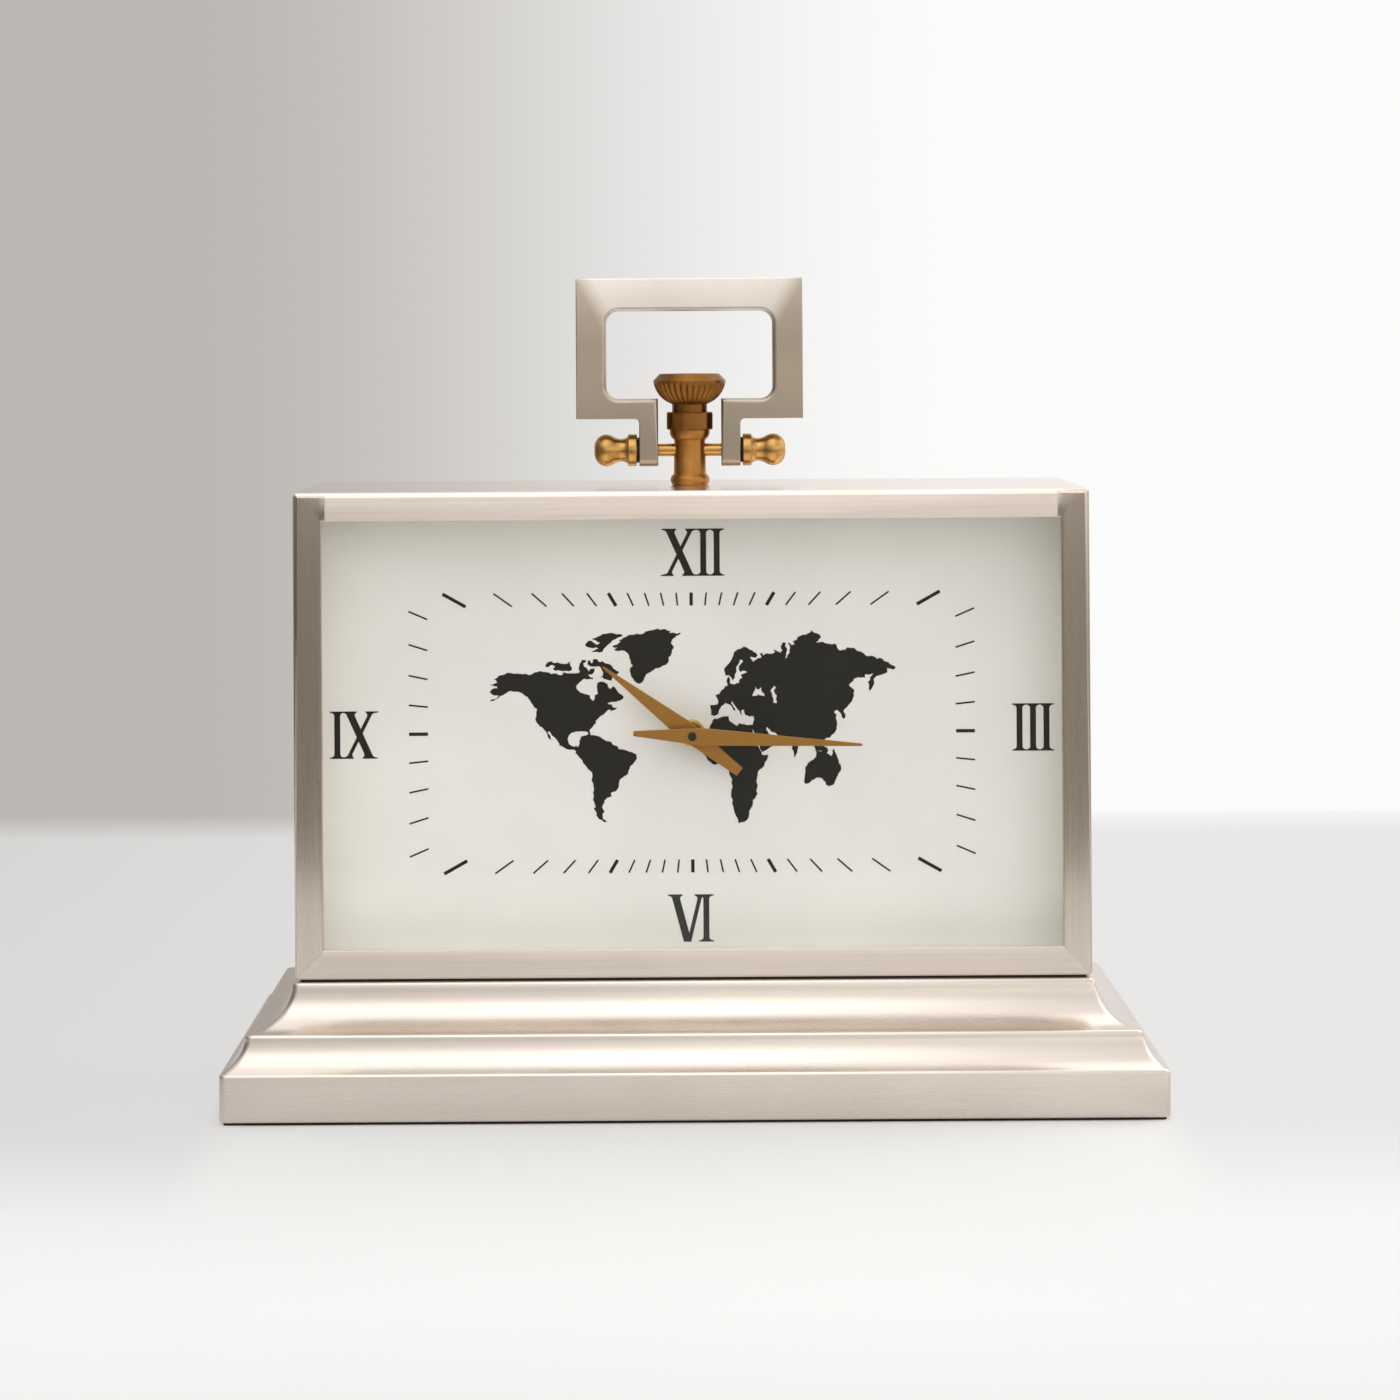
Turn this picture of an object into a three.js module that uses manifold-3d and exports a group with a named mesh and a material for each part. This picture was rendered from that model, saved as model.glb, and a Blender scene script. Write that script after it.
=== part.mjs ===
// Table clock: a nickel case on a stepped plinth, a glazed dial with two hands, a quartz movement,
// and a carry handle that swings on a turned brass post.
// Millimetres, X to the right, Y to the back, Z up. The origin is under the middle of the base.
import * as THREE from "three";
import { mergeVertices } from "three/addons/utils/BufferGeometryUtils.js";
import Module from "manifold-3d";

// Base
const FELT_THICKNESS = 1;
const BASE_HEIGHT = 51.5;
const BASE_OVERHANG = 27.5;
const BASE_CORNER_RADIUS = 1.5;
const PLINTH_WALL = 3.5;
const PLINTH_TOP_THICKNESS = 4;
const BOTTOM_PLATE_THICKNESS = 3;
const GASKET_THICKNESS = 1;
const GASKET_INSET = 2;

// Case
const CASE_WIDTH = 327;
const CASE_DEPTH = 94;
const CASE_HEIGHT = 199.5;
const CASE_WALL = 2;
const CASE_EDGE_RADIUS = 2;
const CASE_CORNER_RADIUS = 1.6;
const BEZEL_WIDTH = 11.75;
const BEZEL_THICKNESS = 2;
const CASE_BOLT_X = 95;
const CASE_BOLT_RADIUS = 3;

// Glass, dial and back
const GLASS_THICKNESS = 3;
const GLASS_OVERLAP = 5;
const SPACER_DEPTH = 15;
const SPACER_WIDTH = 3.5;
const DIAL_THICKNESS = 3;
const DIAL_DROP = 2;
const FIT_GAP = 0.5;
const TOUCH_GAP = 0.1;
const BACK_PANEL_THICKNESS = 2;
const BACK_PANEL_INSET = 1.5;
const ACCESS_WIDTH = 120;
const ACCESS_HEIGHT = 96;
const BACK_SCREW_RADIUS = 1.5;
const BACK_TAB = { width: 16, reach: 12, thickness: 2 };
const BACK_SCREW_X = 110;
const DIAL_BRACKET = { width: 20, leg: 12, thickness: 1.5, x: 120 };

// Handle and post, with heights above the case top
const PIN_HEIGHT = 15;
const PIN_RADIUS = 2.7;
const PIN_REACH = 33;
const HANDLE_WIDTH = 96.2;
const HANDLE_TOP = 88.1;
const HANDLE_THICKNESS = 12;
const HANDLE_BAR_TOP = 12.4;
const HANDLE_BAR_SIDE = 11.5;
const HANDLE_LOWER_BAR = { low: 28.4, high: 36.8 };
const HANDLE_LEG = { inner: 13.65, outer: 21.5, low: 8.2 };
const HANDLE_EDGE = 1;
const HANDLE_TOP_RADIUS = 5.4;
const HANDLE_FOOT_RADIUS = 3.6;
const POST_RADIUS = 6.8;
const POST_STUD_RADIUS = 3;
const POST_STUD_LENGTH = 12;
const POST_TOP = 23.6;
const COLLAR_SIDES = 12;
const COLLAR_RADIUS = 10.1;
const COLLAR_HEIGHT = 7.4;
const CROWN_FLUTES = 32;
const CROWN_FLUTE_DEPTH = 0.7;
const CROWN_NECK_HEIGHT = 3.4;
const CROWN_NECK_RADIUS = 7.45;
const CROWN_RIM_RADIUS = 15.4;
const CROWN_TOP_RADIUS = 12.8;
const CROWN_TOP = 47.4;
const WASHER_THICKNESS = 0.8;
const FINIAL_RADIUS = 6.8;
const FINIAL_END = 40.4;

// Movement, with depths behind the back of the dial and heights above the dial centre
const MOVEMENT_SIZE = 56;
const MOVEMENT_DEPTH = 15;
const MOVEMENT_WALL = 1.5;
const BUSH_GASKET = 1;
const BUSH_RADIUS = 3.9;
const BUSH_BORE = 2.9;
const BUSH_LENGTH = 6.5;
const BUSH_NUT_RADIUS = 5.5;
const BUSH_NUT_HEIGHT = 3;
const GEAR_CENTRES = 9.6;
const GEAR_THICKNESS = 1;
const GEAR_BEARING_DEG = 50;
const PINION_TEETH = 12;
const MINUTE_WHEEL_TEETH = 36;
const MINUTE_PINION_TEETH = 10;
const HOUR_WHEEL_TEETH = 40;
const ARBOR_RADIUS = 1.75;
const HOUR_PIPE_RADIUS = 2.6;
const HOUR_PIPE_BORE = 2.05;
const SETTING_SHAFT_RADIUS = 1.2;
const BATTERY_RADIUS = 7.1;
const BATTERY_LENGTH = 49;
const BATTERY_HEIGHT = -18.6;

// Hands, with heights in front of the dial
const CLOCK_HOURS = 10;
const CLOCK_MINUTES = 15.53;
const HAND_THICKNESS = 0.9;
const HOUR_HAND = { length: 46.6, tail: 24.8, width: 8, tip: 0.8, end: 4.1, height: 8.4 };
const MINUTE_HAND = { length: 70.4, tail: 24.3, width: 7.3, tip: 1.1, end: 2.1, height: 11.6 };
const HAND_SHOULDER = 4;
const ARBOR_TIP_HEIGHT = 13.1;

// Derived planes
const CASE_BOTTOM = BASE_HEIGHT + GASKET_THICKNESS;
const CASE_TOP = CASE_BOTTOM + CASE_HEIGHT;
const CASE_MIDDLE = CASE_BOTTOM + CASE_HEIGHT / 2;
const CASE_FRONT = -CASE_DEPTH / 2;
const CASE_BACK = CASE_DEPTH / 2;
const GLASS_FRONT = CASE_FRONT + BEZEL_THICKNESS;
const SPACER_FRONT = GLASS_FRONT + GLASS_THICKNESS;
const DIAL_FRONT = SPACER_FRONT + SPACER_DEPTH;
const DIAL_BACK = DIAL_FRONT + DIAL_THICKNESS;
const DIAL_CENTRE = CASE_MIDDLE - DIAL_DROP;
const INNER_HALF_WIDTH = CASE_WIDTH / 2 - CASE_WALL;
const INNER_HALF_HEIGHT = CASE_HEIGHT / 2 - CASE_WALL;

const wasm = await Module();
wasm.setup();

const clock = new THREE.Group();
const handleGroup = new THREE.Group();
handleGroup.position.set(0, 0, CASE_TOP);
const movementGroup = new THREE.Group();
movementGroup.position.set(0, DIAL_BACK, DIAL_CENTRE);
clock.add(handleGroup, movementGroup);

const FINISHES = {
  nickel: { color: 0xcfc4b4, roughness: 0.32, metalness: 1 },
  brass: { color: 0xb5793a, roughness: 0.35, metalness: 1 },
  paleBrass: { color: 0xd0a060, roughness: 0.3, metalness: 1 },
  steel: { color: 0xb8b8b8, roughness: 0.4, metalness: 1 },
  copper: { color: 0xb06a3a, roughness: 0.4, metalness: 1 },
  glass: { color: 0xf2f7f4, roughness: 0.03, metalness: 0, transparent: true, opacity: 0.15 },
  dial: { color: 0xe4e0d8, roughness: 0.6, metalness: 0 },
  blackMetal: { color: 0x1c1b1a, roughness: 0.6, metalness: 0 },
  blackPlastic: { color: 0x222222, roughness: 0.5, metalness: 0 },
  whitePlastic: { color: 0xe8e6e0, roughness: 0.5, metalness: 0 },
  circuit: { color: 0x1f5a32, roughness: 0.5, metalness: 0 },
  felt: { color: 0x191716, roughness: 0.95, metalness: 0 },
  board: { color: 0x5a4636, roughness: 0.85, metalness: 0 },
  rubber: { color: 0x151515, roughness: 0.8, metalness: 0 },
};

// Puts a named mesh with its own material into a group.
function piece(parent, name, finish, geometry) {
  const mesh = new THREE.Mesh(geometry, new THREE.MeshStandardMaterial(FINISHES[finish]));
  mesh.name = name;
  parent.add(mesh);
}

// Joining and cutting

function solidOf(geometry) {
  const bare = geometry.clone();
  bare.deleteAttribute("normal");
  bare.deleteAttribute("uv");
  const merged = mergeVertices(bare, 1e-4);
  const vertProperties = merged.getAttribute("position").array;
  const triVerts = new Uint32Array(merged.index.array);
  return new wasm.Manifold(new wasm.Mesh({ numProp: 3, vertProperties, triVerts }));
}

function geometryOf(solid) {
  const { vertProperties, triVerts } = solid.getMesh();
  const geometry = new THREE.BufferGeometry();
  geometry.setAttribute("position", new THREE.BufferAttribute(vertProperties, 3));
  return geometry.setIndex(new THREE.BufferAttribute(triVerts, 1));
}

function cut(geometry, ...tools) {
  return geometryOf(tools.reduce((rest, tool) => rest.subtract(solidOf(tool)), solidOf(geometry)));
}

function join(geometry, ...more) {
  return geometryOf(more.reduce((whole, part) => whole.add(solidOf(part)), solidOf(geometry)));
}

function common(geometry, other) {
  return geometryOf(solidOf(geometry).intersect(solidOf(other)));
}

// Basic forms

function block([x0, x1], [y0, y1], [z0, z1]) {
  const box = new THREE.BoxGeometry(x1 - x0, y1 - y0, z1 - z0);
  return box.translate((x0 + x1) / 2, (y0 + y1) / 2, (z0 + z1) / 2);
}

// A round or many-sided bar along an axis, between two coordinates on it.
function bar(axis, radius, low, high, sides = 20) {
  const cylinder = new THREE.CylinderGeometry(radius, radius, high - low, sides);
  cylinder.translate(0, (low + high) / 2, 0);
  return turnTo(axis, cylinder);
}

// Revolves [radius, height] points, listed anticlockwise, about an axis.
function revolve(axis, points, sides = 24, start = 0) {
  const profile = points.map(([radius, height]) => new THREE.Vector2(radius, height));
  return turnTo(axis, new THREE.LatheGeometry(profile, sides, start));
}

function turnTo(axis, geometry) {
  if (axis === "x") geometry.rotateZ(-Math.PI / 2);
  if (axis === "-x") geometry.rotateZ(Math.PI / 2);
  if (axis === "z") geometry.rotateX(Math.PI / 2);
  return geometry;
}

// A ring with a rectangular section, about the Y axis.
function ringAboutY(bore, radius, front, back, sides = 24) {
  const profile = [[bore, front], [radius, front], [radius, back], [bore, back], [bore, front]];
  return revolve("y", profile, sides);
}

// The outline of a rectangle with rounded corners, anticlockwise.
function roundedRectangle(halfWidth, halfHeight, radius, cornerPoints = 3) {
  const corners = [[1, 1], [-1, 1], [-1, -1], [1, -1]];
  return corners.flatMap(([signU, signV], corner) =>
    Array.from({ length: cornerPoints }, (_, i) => {
      const angle = (Math.PI / 2) * (corner + i / (cornerPoints - 1));
      const u = signU * (halfWidth - radius) + radius * Math.cos(angle);
      const v = signV * (halfHeight - radius) + radius * Math.sin(angle);
      return new THREE.Vector2(u, v);
    }),
  );
}

function rectangleShape(halfWidth, halfHeight, radius) {
  return new THREE.Shape(roundedRectangle(halfWidth, halfHeight, radius));
}

function addRoundHole(shape, u, v, radius) {
  shape.holes.push(new THREE.Path().absarc(u, v, radius, 0, 2 * Math.PI));
  return shape;
}

// A plate that lies flat, from one height to another.
function flatPlate(shape, low, high) {
  const options = { depth: high - low, bevelEnabled: false, curveSegments: 8 };
  return new THREE.ExtrudeGeometry(shape, options).translate(0, 0, low);
}

// A plate that stands facing the front, from one depth to another. The shape is drawn in X and Z.
function standingPlate(shape, front, back, edge = 0, edgeSteps = 1) {
  const options = {
    depth: back - front - 2 * edge,
    bevelEnabled: edge > 0,
    bevelThickness: edge,
    bevelSize: edge,
    bevelOffset: -edge,
    bevelSegments: edgeSteps,
    curveSegments: 6,
  };
  const plate = new THREE.ExtrudeGeometry(shape, options).rotateX(Math.PI / 2);
  return plate.translate(0, back - edge, 0);
}

// Skins rings of points that have the same count. An open skin is capped at both ends.
function skin(rings, closed) {
  const count = rings[0].length;
  const triangles = [];
  const bands = closed ? rings.length : rings.length - 1;
  for (let i = 0; i < bands; i++) {
    const from = i * count;
    const to = ((i + 1) % rings.length) * count;
    for (let j = 0; j < count; j++) {
      const next = (j + 1) % count;
      triangles.push(from + j, from + next, to + next);
      triangles.push(from + j, to + next, to + j);
    }
  }
  const last = (rings.length - 1) * count;
  for (let j = 1; j < count - 1 && !closed; j++) {
    triangles.push(0, j + 1, j);
    triangles.push(last, last + j, last + j + 1);
  }
  const geometry = new THREE.BufferGeometry().setFromPoints(rings.flat());
  return geometry.setIndex(triangles);
}

// Points of an arc from one point to another, bulging to the right of the way by a sagitta.
function arc([u0, v0], [u1, v1], sagitta, steps) {
  const chord = Math.hypot(u1 - u0, v1 - v0);
  const radius = (chord * chord) / (8 * sagitta) + sagitta / 2;
  const half = Math.asin(chord / 2 / radius);
  const along = [(u1 - u0) / chord, (v1 - v0) / chord];
  return Array.from({ length: steps + 1 }, (_, i) => {
    const angle = half * ((2 * i) / steps - 1);
    const reach = chord / 2 + radius * Math.sin(angle);
    const rise = radius * (Math.cos(angle) - Math.cos(half));
    return [u0 + along[0] * reach + along[1] * rise, v0 + along[1] * reach - along[0] * rise];
  });
}

// A polygon of [u, v, radius] corners, each rounded by its radius.
function roundedPolygon(corners) {
  const shape = new THREE.Shape();
  corners.forEach(([u, v, radius], i) => {
    const corner = new THREE.Vector2(u, v);
    const [before, after] = [-1, 1].map((step) => {
      const [otherU, otherV] = corners[(i + step + corners.length) % corners.length];
      const way = new THREE.Vector2(otherU - u, otherV - v).setLength(radius);
      return corner.clone().add(way);
    });
    if (i === 0) shape.moveTo(before.x, before.y);
    else shape.lineTo(before.x, before.y);
    if (radius > 0) shape.quadraticCurveTo(u, v, after.x, after.y);
  });
  return shape;
}

// Base

// The plinth's moulding as [distance outside the case wall, height], from the foot to the top.
const LOWER_COVE = { foot: [26.4, 20.5], head: [18.3, 32.3], sagitta: 2 };
const UPPER_COVE = { foot: [16.6, 34.1], head: [1.4, 50.1], sagitta: 3.9 };
const FOOT_EDGE = 0.8;
const BLOCK_TOP = 19.1;

function plinthMoulding() {
  return [
    [BASE_OVERHANG - FOOT_EDGE, FELT_THICKNESS],
    [BASE_OVERHANG, FELT_THICKNESS + FOOT_EDGE],
    ...arc([BASE_OVERHANG, BLOCK_TOP], LOWER_COVE.foot, 0.4, 2),
    ...arc(LOWER_COVE.head, LOWER_COVE.foot, LOWER_COVE.sagitta, 5).reverse().slice(1),
    ...arc([LOWER_COVE.head[0], LOWER_COVE.head[1] + 0.4], UPPER_COVE.foot, 0.45, 2),
    ...arc(UPPER_COVE.head, UPPER_COVE.foot, UPPER_COVE.sagitta, 7).reverse().slice(1),
    [0.4, BASE_HEIGHT - 0.4],
    [-0.8, BASE_HEIGHT],
  ];
}

// The hollow under the moulding, from its ceiling down to the foot.
function plinthHollow() {
  return [
    [-1.5, BASE_HEIGHT - PLINTH_TOP_THICKNESS],
    [2.4, 38],
    [9, 32],
    [14.6, 29.9],
    [17, 23.5],
    [BASE_OVERHANG - PLINTH_WALL, 16.9],
    [BASE_OVERHANG - PLINTH_WALL, FELT_THICKNESS],
  ];
}

function caseRectangle(offset, radius) {
  return roundedRectangle(CASE_WIDTH / 2 + offset, CASE_DEPTH / 2 + offset, radius);
}

function buildBase() {
  const profile = [...plinthHollow(), ...plinthMoulding()];
  const rings = profile.map(([offset, height]) =>
    caseRectangle(offset, BASE_CORNER_RADIUS).map((p) => new THREE.Vector3(p.x, p.y, height)),
  );
  const boltHoles = [-CASE_BOLT_X, CASE_BOLT_X].map((x) =>
    bar("z", CASE_BOLT_RADIUS + FIT_GAP, 0, CASE_BOTTOM + CASE_WALL).translate(x, 0, 0),
  );
  piece(clock, "base_plinth", "nickel", cut(skin(rings, false), ...boltHoles));

  const plateOffset = BASE_OVERHANG - PLINTH_WALL - FIT_GAP;
  const plate = new THREE.Shape(caseRectangle(plateOffset, BASE_CORNER_RADIUS));
  const plateTop = FELT_THICKNESS + BOTTOM_PLATE_THICKNESS;
  piece(clock, "base_bottom_plate", "board", flatPlate(plate, FELT_THICKNESS, plateTop));

  const felt = new THREE.Shape(caseRectangle(BASE_OVERHANG - 2 * FOOT_EDGE, BASE_CORNER_RADIUS));
  piece(clock, "base_felt", "felt", flatPlate(felt, 0, FELT_THICKNESS));

  const gasket = new THREE.Shape(caseRectangle(-GASKET_INSET, BASE_CORNER_RADIUS));
  addRoundHole(gasket, -CASE_BOLT_X, 0, CASE_BOLT_RADIUS + FIT_GAP);
  addRoundHole(gasket, CASE_BOLT_X, 0, CASE_BOLT_RADIUS + FIT_GAP);
  piece(clock, "case_gasket", "rubber", flatPlate(gasket, BASE_HEIGHT, CASE_BOTTOM));
}

// Two hexagon bolts from the case floor into nuts under the plinth's top.
function buildCaseBolts() {
  const headRadius = 5.7;
  const headHeight = 4;
  const nutHeight = 5;
  const shankLow = BASE_HEIGHT - PLINTH_TOP_THICKNESS - nutHeight - 3;
  const headLow = CASE_BOTTOM + CASE_WALL;
  const nutHigh = BASE_HEIGHT - PLINTH_TOP_THICKNESS - TOUCH_GAP;
  for (const [side, x] of [["left", -CASE_BOLT_X], ["right", CASE_BOLT_X]]) {
    const head = bar("z", headRadius, headLow + TOUCH_GAP, headLow + headHeight, 6);
    const shank = bar("z", CASE_BOLT_RADIUS, shankLow, headLow + 1, 16);
    piece(clock, `case_bolt_${side}`, "steel", join(head, shank).translate(x, 0, 0));
    const nut = bar("z", headRadius, nutHigh - nutHeight, nutHigh, 6);
    const bore = bar("z", CASE_BOLT_RADIUS + TOUCH_GAP, 0, nutHigh + 1, 16);
    piece(clock, `case_nut_${side}`, "steel", cut(nut, bore).translate(x, 0, 0));
  }
}

// Case

// The case wall as [inset from the outside, depth], from the back edge round the bezel and back.
function caseWall() {
  const edge = CASE_EDGE_RADIUS;
  const lip = 0.5;
  return [
    [0.4, CASE_BACK],
    [0, CASE_BACK - 0.4],
    ...arc([edge, CASE_FRONT], [0, CASE_FRONT + edge], edge * (1 - Math.SQRT1_2), 4).reverse(),
    [BEZEL_WIDTH - lip, CASE_FRONT],
    [BEZEL_WIDTH, CASE_FRONT + lip],
    [BEZEL_WIDTH, CASE_FRONT + BEZEL_THICKNESS],
    [CASE_WALL, CASE_FRONT + BEZEL_THICKNESS],
    [CASE_WALL, CASE_BACK],
  ];
}

// Where the back screws sit, as [x, height above the case middle, direction to the wall].
function backScrewPlaces() {
  const fromWall = BACK_TAB.reach / 2;
  const z = INNER_HALF_HEIGHT - fromWall;
  const x = INNER_HALF_WIDTH - fromWall;
  const rows = [-1, 1].flatMap((side) =>
    [-BACK_SCREW_X, BACK_SCREW_X].map((along) => ({ x: along, z: side * z, wall: [0, side] })),
  );
  const ends = [-1, 1].map((side) => ({ x: side * x, z: 0, wall: [side, 0] }));
  return [...rows, ...ends];
}

function backTab({ x, z, wall }) {
  const [wallX, wallZ] = wall;
  const halfX = wallX ? BACK_TAB.reach / 2 : BACK_TAB.width / 2;
  const halfZ = wallZ ? BACK_TAB.reach / 2 : BACK_TAB.width / 2;
  const back = CASE_BACK - BACK_PANEL_INSET - BACK_PANEL_THICKNESS - TOUCH_GAP;
  const root = CASE_WALL / 2;
  const spanTo = (middle, half, wallSide) => [
    middle - half + Math.min(0, wallSide * root),
    middle + half + Math.max(0, wallSide * root),
  ];
  const depths = [back - BACK_TAB.thickness, back];
  return block(spanTo(x, halfX, wallX), depths, spanTo(CASE_MIDDLE + z, halfZ, wallZ));
}

function buildCase() {
  const rings = caseWall().map(([inset, depth]) => {
    const radius = Math.max(CASE_CORNER_RADIUS - inset, 0.3);
    const outline = roundedRectangle(CASE_WIDTH / 2 - inset, CASE_HEIGHT / 2 - inset, radius);
    return outline.map((p) => new THREE.Vector3(p.x, depth, CASE_MIDDLE + p.y));
  });
  const tabs = backScrewPlaces().map(backTab);
  const screwHoles = backScrewPlaces().map(({ x, z }) =>
    bar("y", BACK_SCREW_RADIUS + TOUCH_GAP, 0, CASE_BACK, 12).translate(x, 0, CASE_MIDDLE + z),
  );
  const boltHoles = [-CASE_BOLT_X, CASE_BOLT_X].map((x) =>
    bar("z", CASE_BOLT_RADIUS + FIT_GAP, 0, CASE_MIDDLE, 16).translate(x, 0, 0),
  );
  const postHole = bar("z", POST_STUD_RADIUS + FIT_GAP, CASE_MIDDLE, CASE_TOP + 1, 16);
  const shell = join(skin(rings, true), ...tabs);
  piece(clock, "case_shell", "nickel", cut(shell, ...screwHoles, ...boltHoles, postHole));
}

// Glass, spacer frame and dial, stacked behind the bezel.
function buildDial() {
  const glass = rectangleShape(
    CASE_WIDTH / 2 - BEZEL_WIDTH + GLASS_OVERLAP,
    CASE_HEIGHT / 2 - BEZEL_WIDTH + GLASS_OVERLAP,
    1,
  );
  const raise = (geometry) => geometry.translate(0, 0, CASE_MIDDLE);
  const pane = standingPlate(glass, GLASS_FRONT + TOUCH_GAP, SPACER_FRONT);
  piece(clock, "glass_pane", "glass", raise(pane));

  const halfWidth = INNER_HALF_WIDTH - FIT_GAP;
  const halfHeight = INNER_HALF_HEIGHT - FIT_GAP;
  const frame = rectangleShape(halfWidth, halfHeight, 0.3);
  const opening = roundedRectangle(halfWidth - SPACER_WIDTH, halfHeight - SPACER_WIDTH, 0.3);
  frame.holes.push(new THREE.Path(opening));
  const spacer = standingPlate(frame, SPACER_FRONT + TOUCH_GAP, DIAL_FRONT - TOUCH_GAP);
  piece(clock, "dial_spacer", "whitePlastic", raise(spacer));

  const board = rectangleShape(halfWidth, halfHeight, 0.3);
  addRoundHole(board, 0, -DIAL_DROP, BUSH_RADIUS + FIT_GAP);
  piece(clock, "dial_plate", "dial", raise(standingPlate(board, DIAL_FRONT, DIAL_BACK)));

  // Angles soldered to the case floor and roof, pressing the dial forwards.
  const { width, leg, thickness, x } = DIAL_BRACKET;
  const places = [[-x, -1], [x, -1], [x, 1], [-x, 1]];
  places.forEach(([along, side], i) => {
    const inside = [[leg, thickness], [thickness, thickness], [thickness, leg]];
    const corners = [[0, 0], [leg, 0], ...inside, [0, leg]];
    const front = DIAL_BACK + TOUCH_GAP;
    const wall = INNER_HALF_HEIGHT - TOUCH_GAP;
    const outline = corners.map(
      ([depth, reach]) => new THREE.Vector2(front + depth, CASE_MIDDLE + side * (wall - reach)),
    );
    const angle = crossBeam(new THREE.Shape(outline), along - width / 2, along + width / 2);
    piece(clock, `dial_bracket_${i + 1}`, "steel", angle);
  });
}

// A beam along X. Its section is drawn in Y and Z.
function crossBeam(shape, low, high) {
  const options = { depth: high - low, bevelEnabled: false, curveSegments: 6 };
  const beam = new THREE.ExtrudeGeometry(shape, options).translate(0, 0, low);
  const axes = [new THREE.Vector3(0, 1, 0), new THREE.Vector3(0, 0, 1), new THREE.Vector3(1, 0, 0)];
  return beam.applyMatrix4(new THREE.Matrix4().makeBasis(...axes));
}

// Back panel with its access cut-out, and the screws that hold it on the tabs.
function buildBack() {
  const back = CASE_BACK - BACK_PANEL_INSET;
  const front = back - BACK_PANEL_THICKNESS;
  const panel = rectangleShape(INNER_HALF_WIDTH - FIT_GAP, INNER_HALF_HEIGHT - FIT_GAP, 1);
  const access = roundedRectangle(ACCESS_WIDTH / 2, ACCESS_HEIGHT / 2, 10, 5);
  panel.holes.push(new THREE.Path(access.map((p) => new THREE.Vector2(p.x, p.y - DIAL_DROP))));
  backScrewPlaces().forEach(({ x, z }) => addRoundHole(panel, x, z, BACK_SCREW_RADIUS + FIT_GAP));
  const plate = standingPlate(panel, front, back).translate(0, 0, CASE_MIDDLE);
  piece(clock, "back_panel", "blackMetal", plate);

  const headRadius = 3.4;
  const headHeight = 1.9;
  const tip = front - BACK_TAB.thickness - 3;
  const profile = [
    [0, tip],
    [BACK_SCREW_RADIUS, tip + 1],
    [BACK_SCREW_RADIUS, back + TOUCH_GAP],
    [headRadius, back + TOUCH_GAP],
    ...arc([0.8, back + headHeight], [headRadius, back + 0.6], 0.5, 3).reverse(),
    [0, back + headHeight],
  ];
  backScrewPlaces().forEach(({ x, z }, i) => {
    const screw = revolve("y", profile, 10).translate(x, 0, CASE_MIDDLE + z);
    piece(clock, `back_screw_${i + 1}`, "steel", screw);
  });
}

// Handle and post, in the handle group whose origin is on the case top

function buildPost() {
  const beadRadius = 8.3;
  const cupRadius = 8.5;
  const socketDepth = 4.6;
  const profile = [
    [0, -POST_STUD_LENGTH],
    [POST_STUD_RADIUS, -POST_STUD_LENGTH],
    [POST_STUD_RADIUS, TOUCH_GAP],
    [beadRadius - 0.8, TOUCH_GAP],
    ...arc([beadRadius - 0.8, 0.4], [beadRadius - 1.2, 4.6], 1, 6),
    [POST_RADIUS, 5],
    [POST_RADIUS, 18.8],
    ...arc([cupRadius, POST_TOP - 0.5], [POST_RADIUS + 0.1, 19.4], 0.5, 4).reverse(),
    [cupRadius, POST_TOP],
    [POST_STUD_RADIUS + FIT_GAP, POST_TOP],
    [POST_STUD_RADIUS + FIT_GAP, POST_TOP - socketDepth],
    [0, POST_TOP - socketDepth],
  ];
  const pinHole = bar("x", PIN_RADIUS + 0.2, -20, 20, 20).translate(0, 0, PIN_HEIGHT);
  piece(handleGroup, "handle_post", "brass", cut(revolve("z", profile, 28), pinHole));

  const inside = -CASE_WALL - TOUCH_GAP;
  const washer = bar("z", 9, inside - 1.2, inside, 24);
  const nut = bar("z", 6.6, inside - 7, inside - 1.3, 6);
  const bore = bar("z", POST_STUD_RADIUS + TOUCH_GAP, -30, 0, 16);
  piece(handleGroup, "post_washer", "steel", cut(washer, bore));
  piece(handleGroup, "post_nut", "steel", cut(nut, bore));
}

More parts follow.
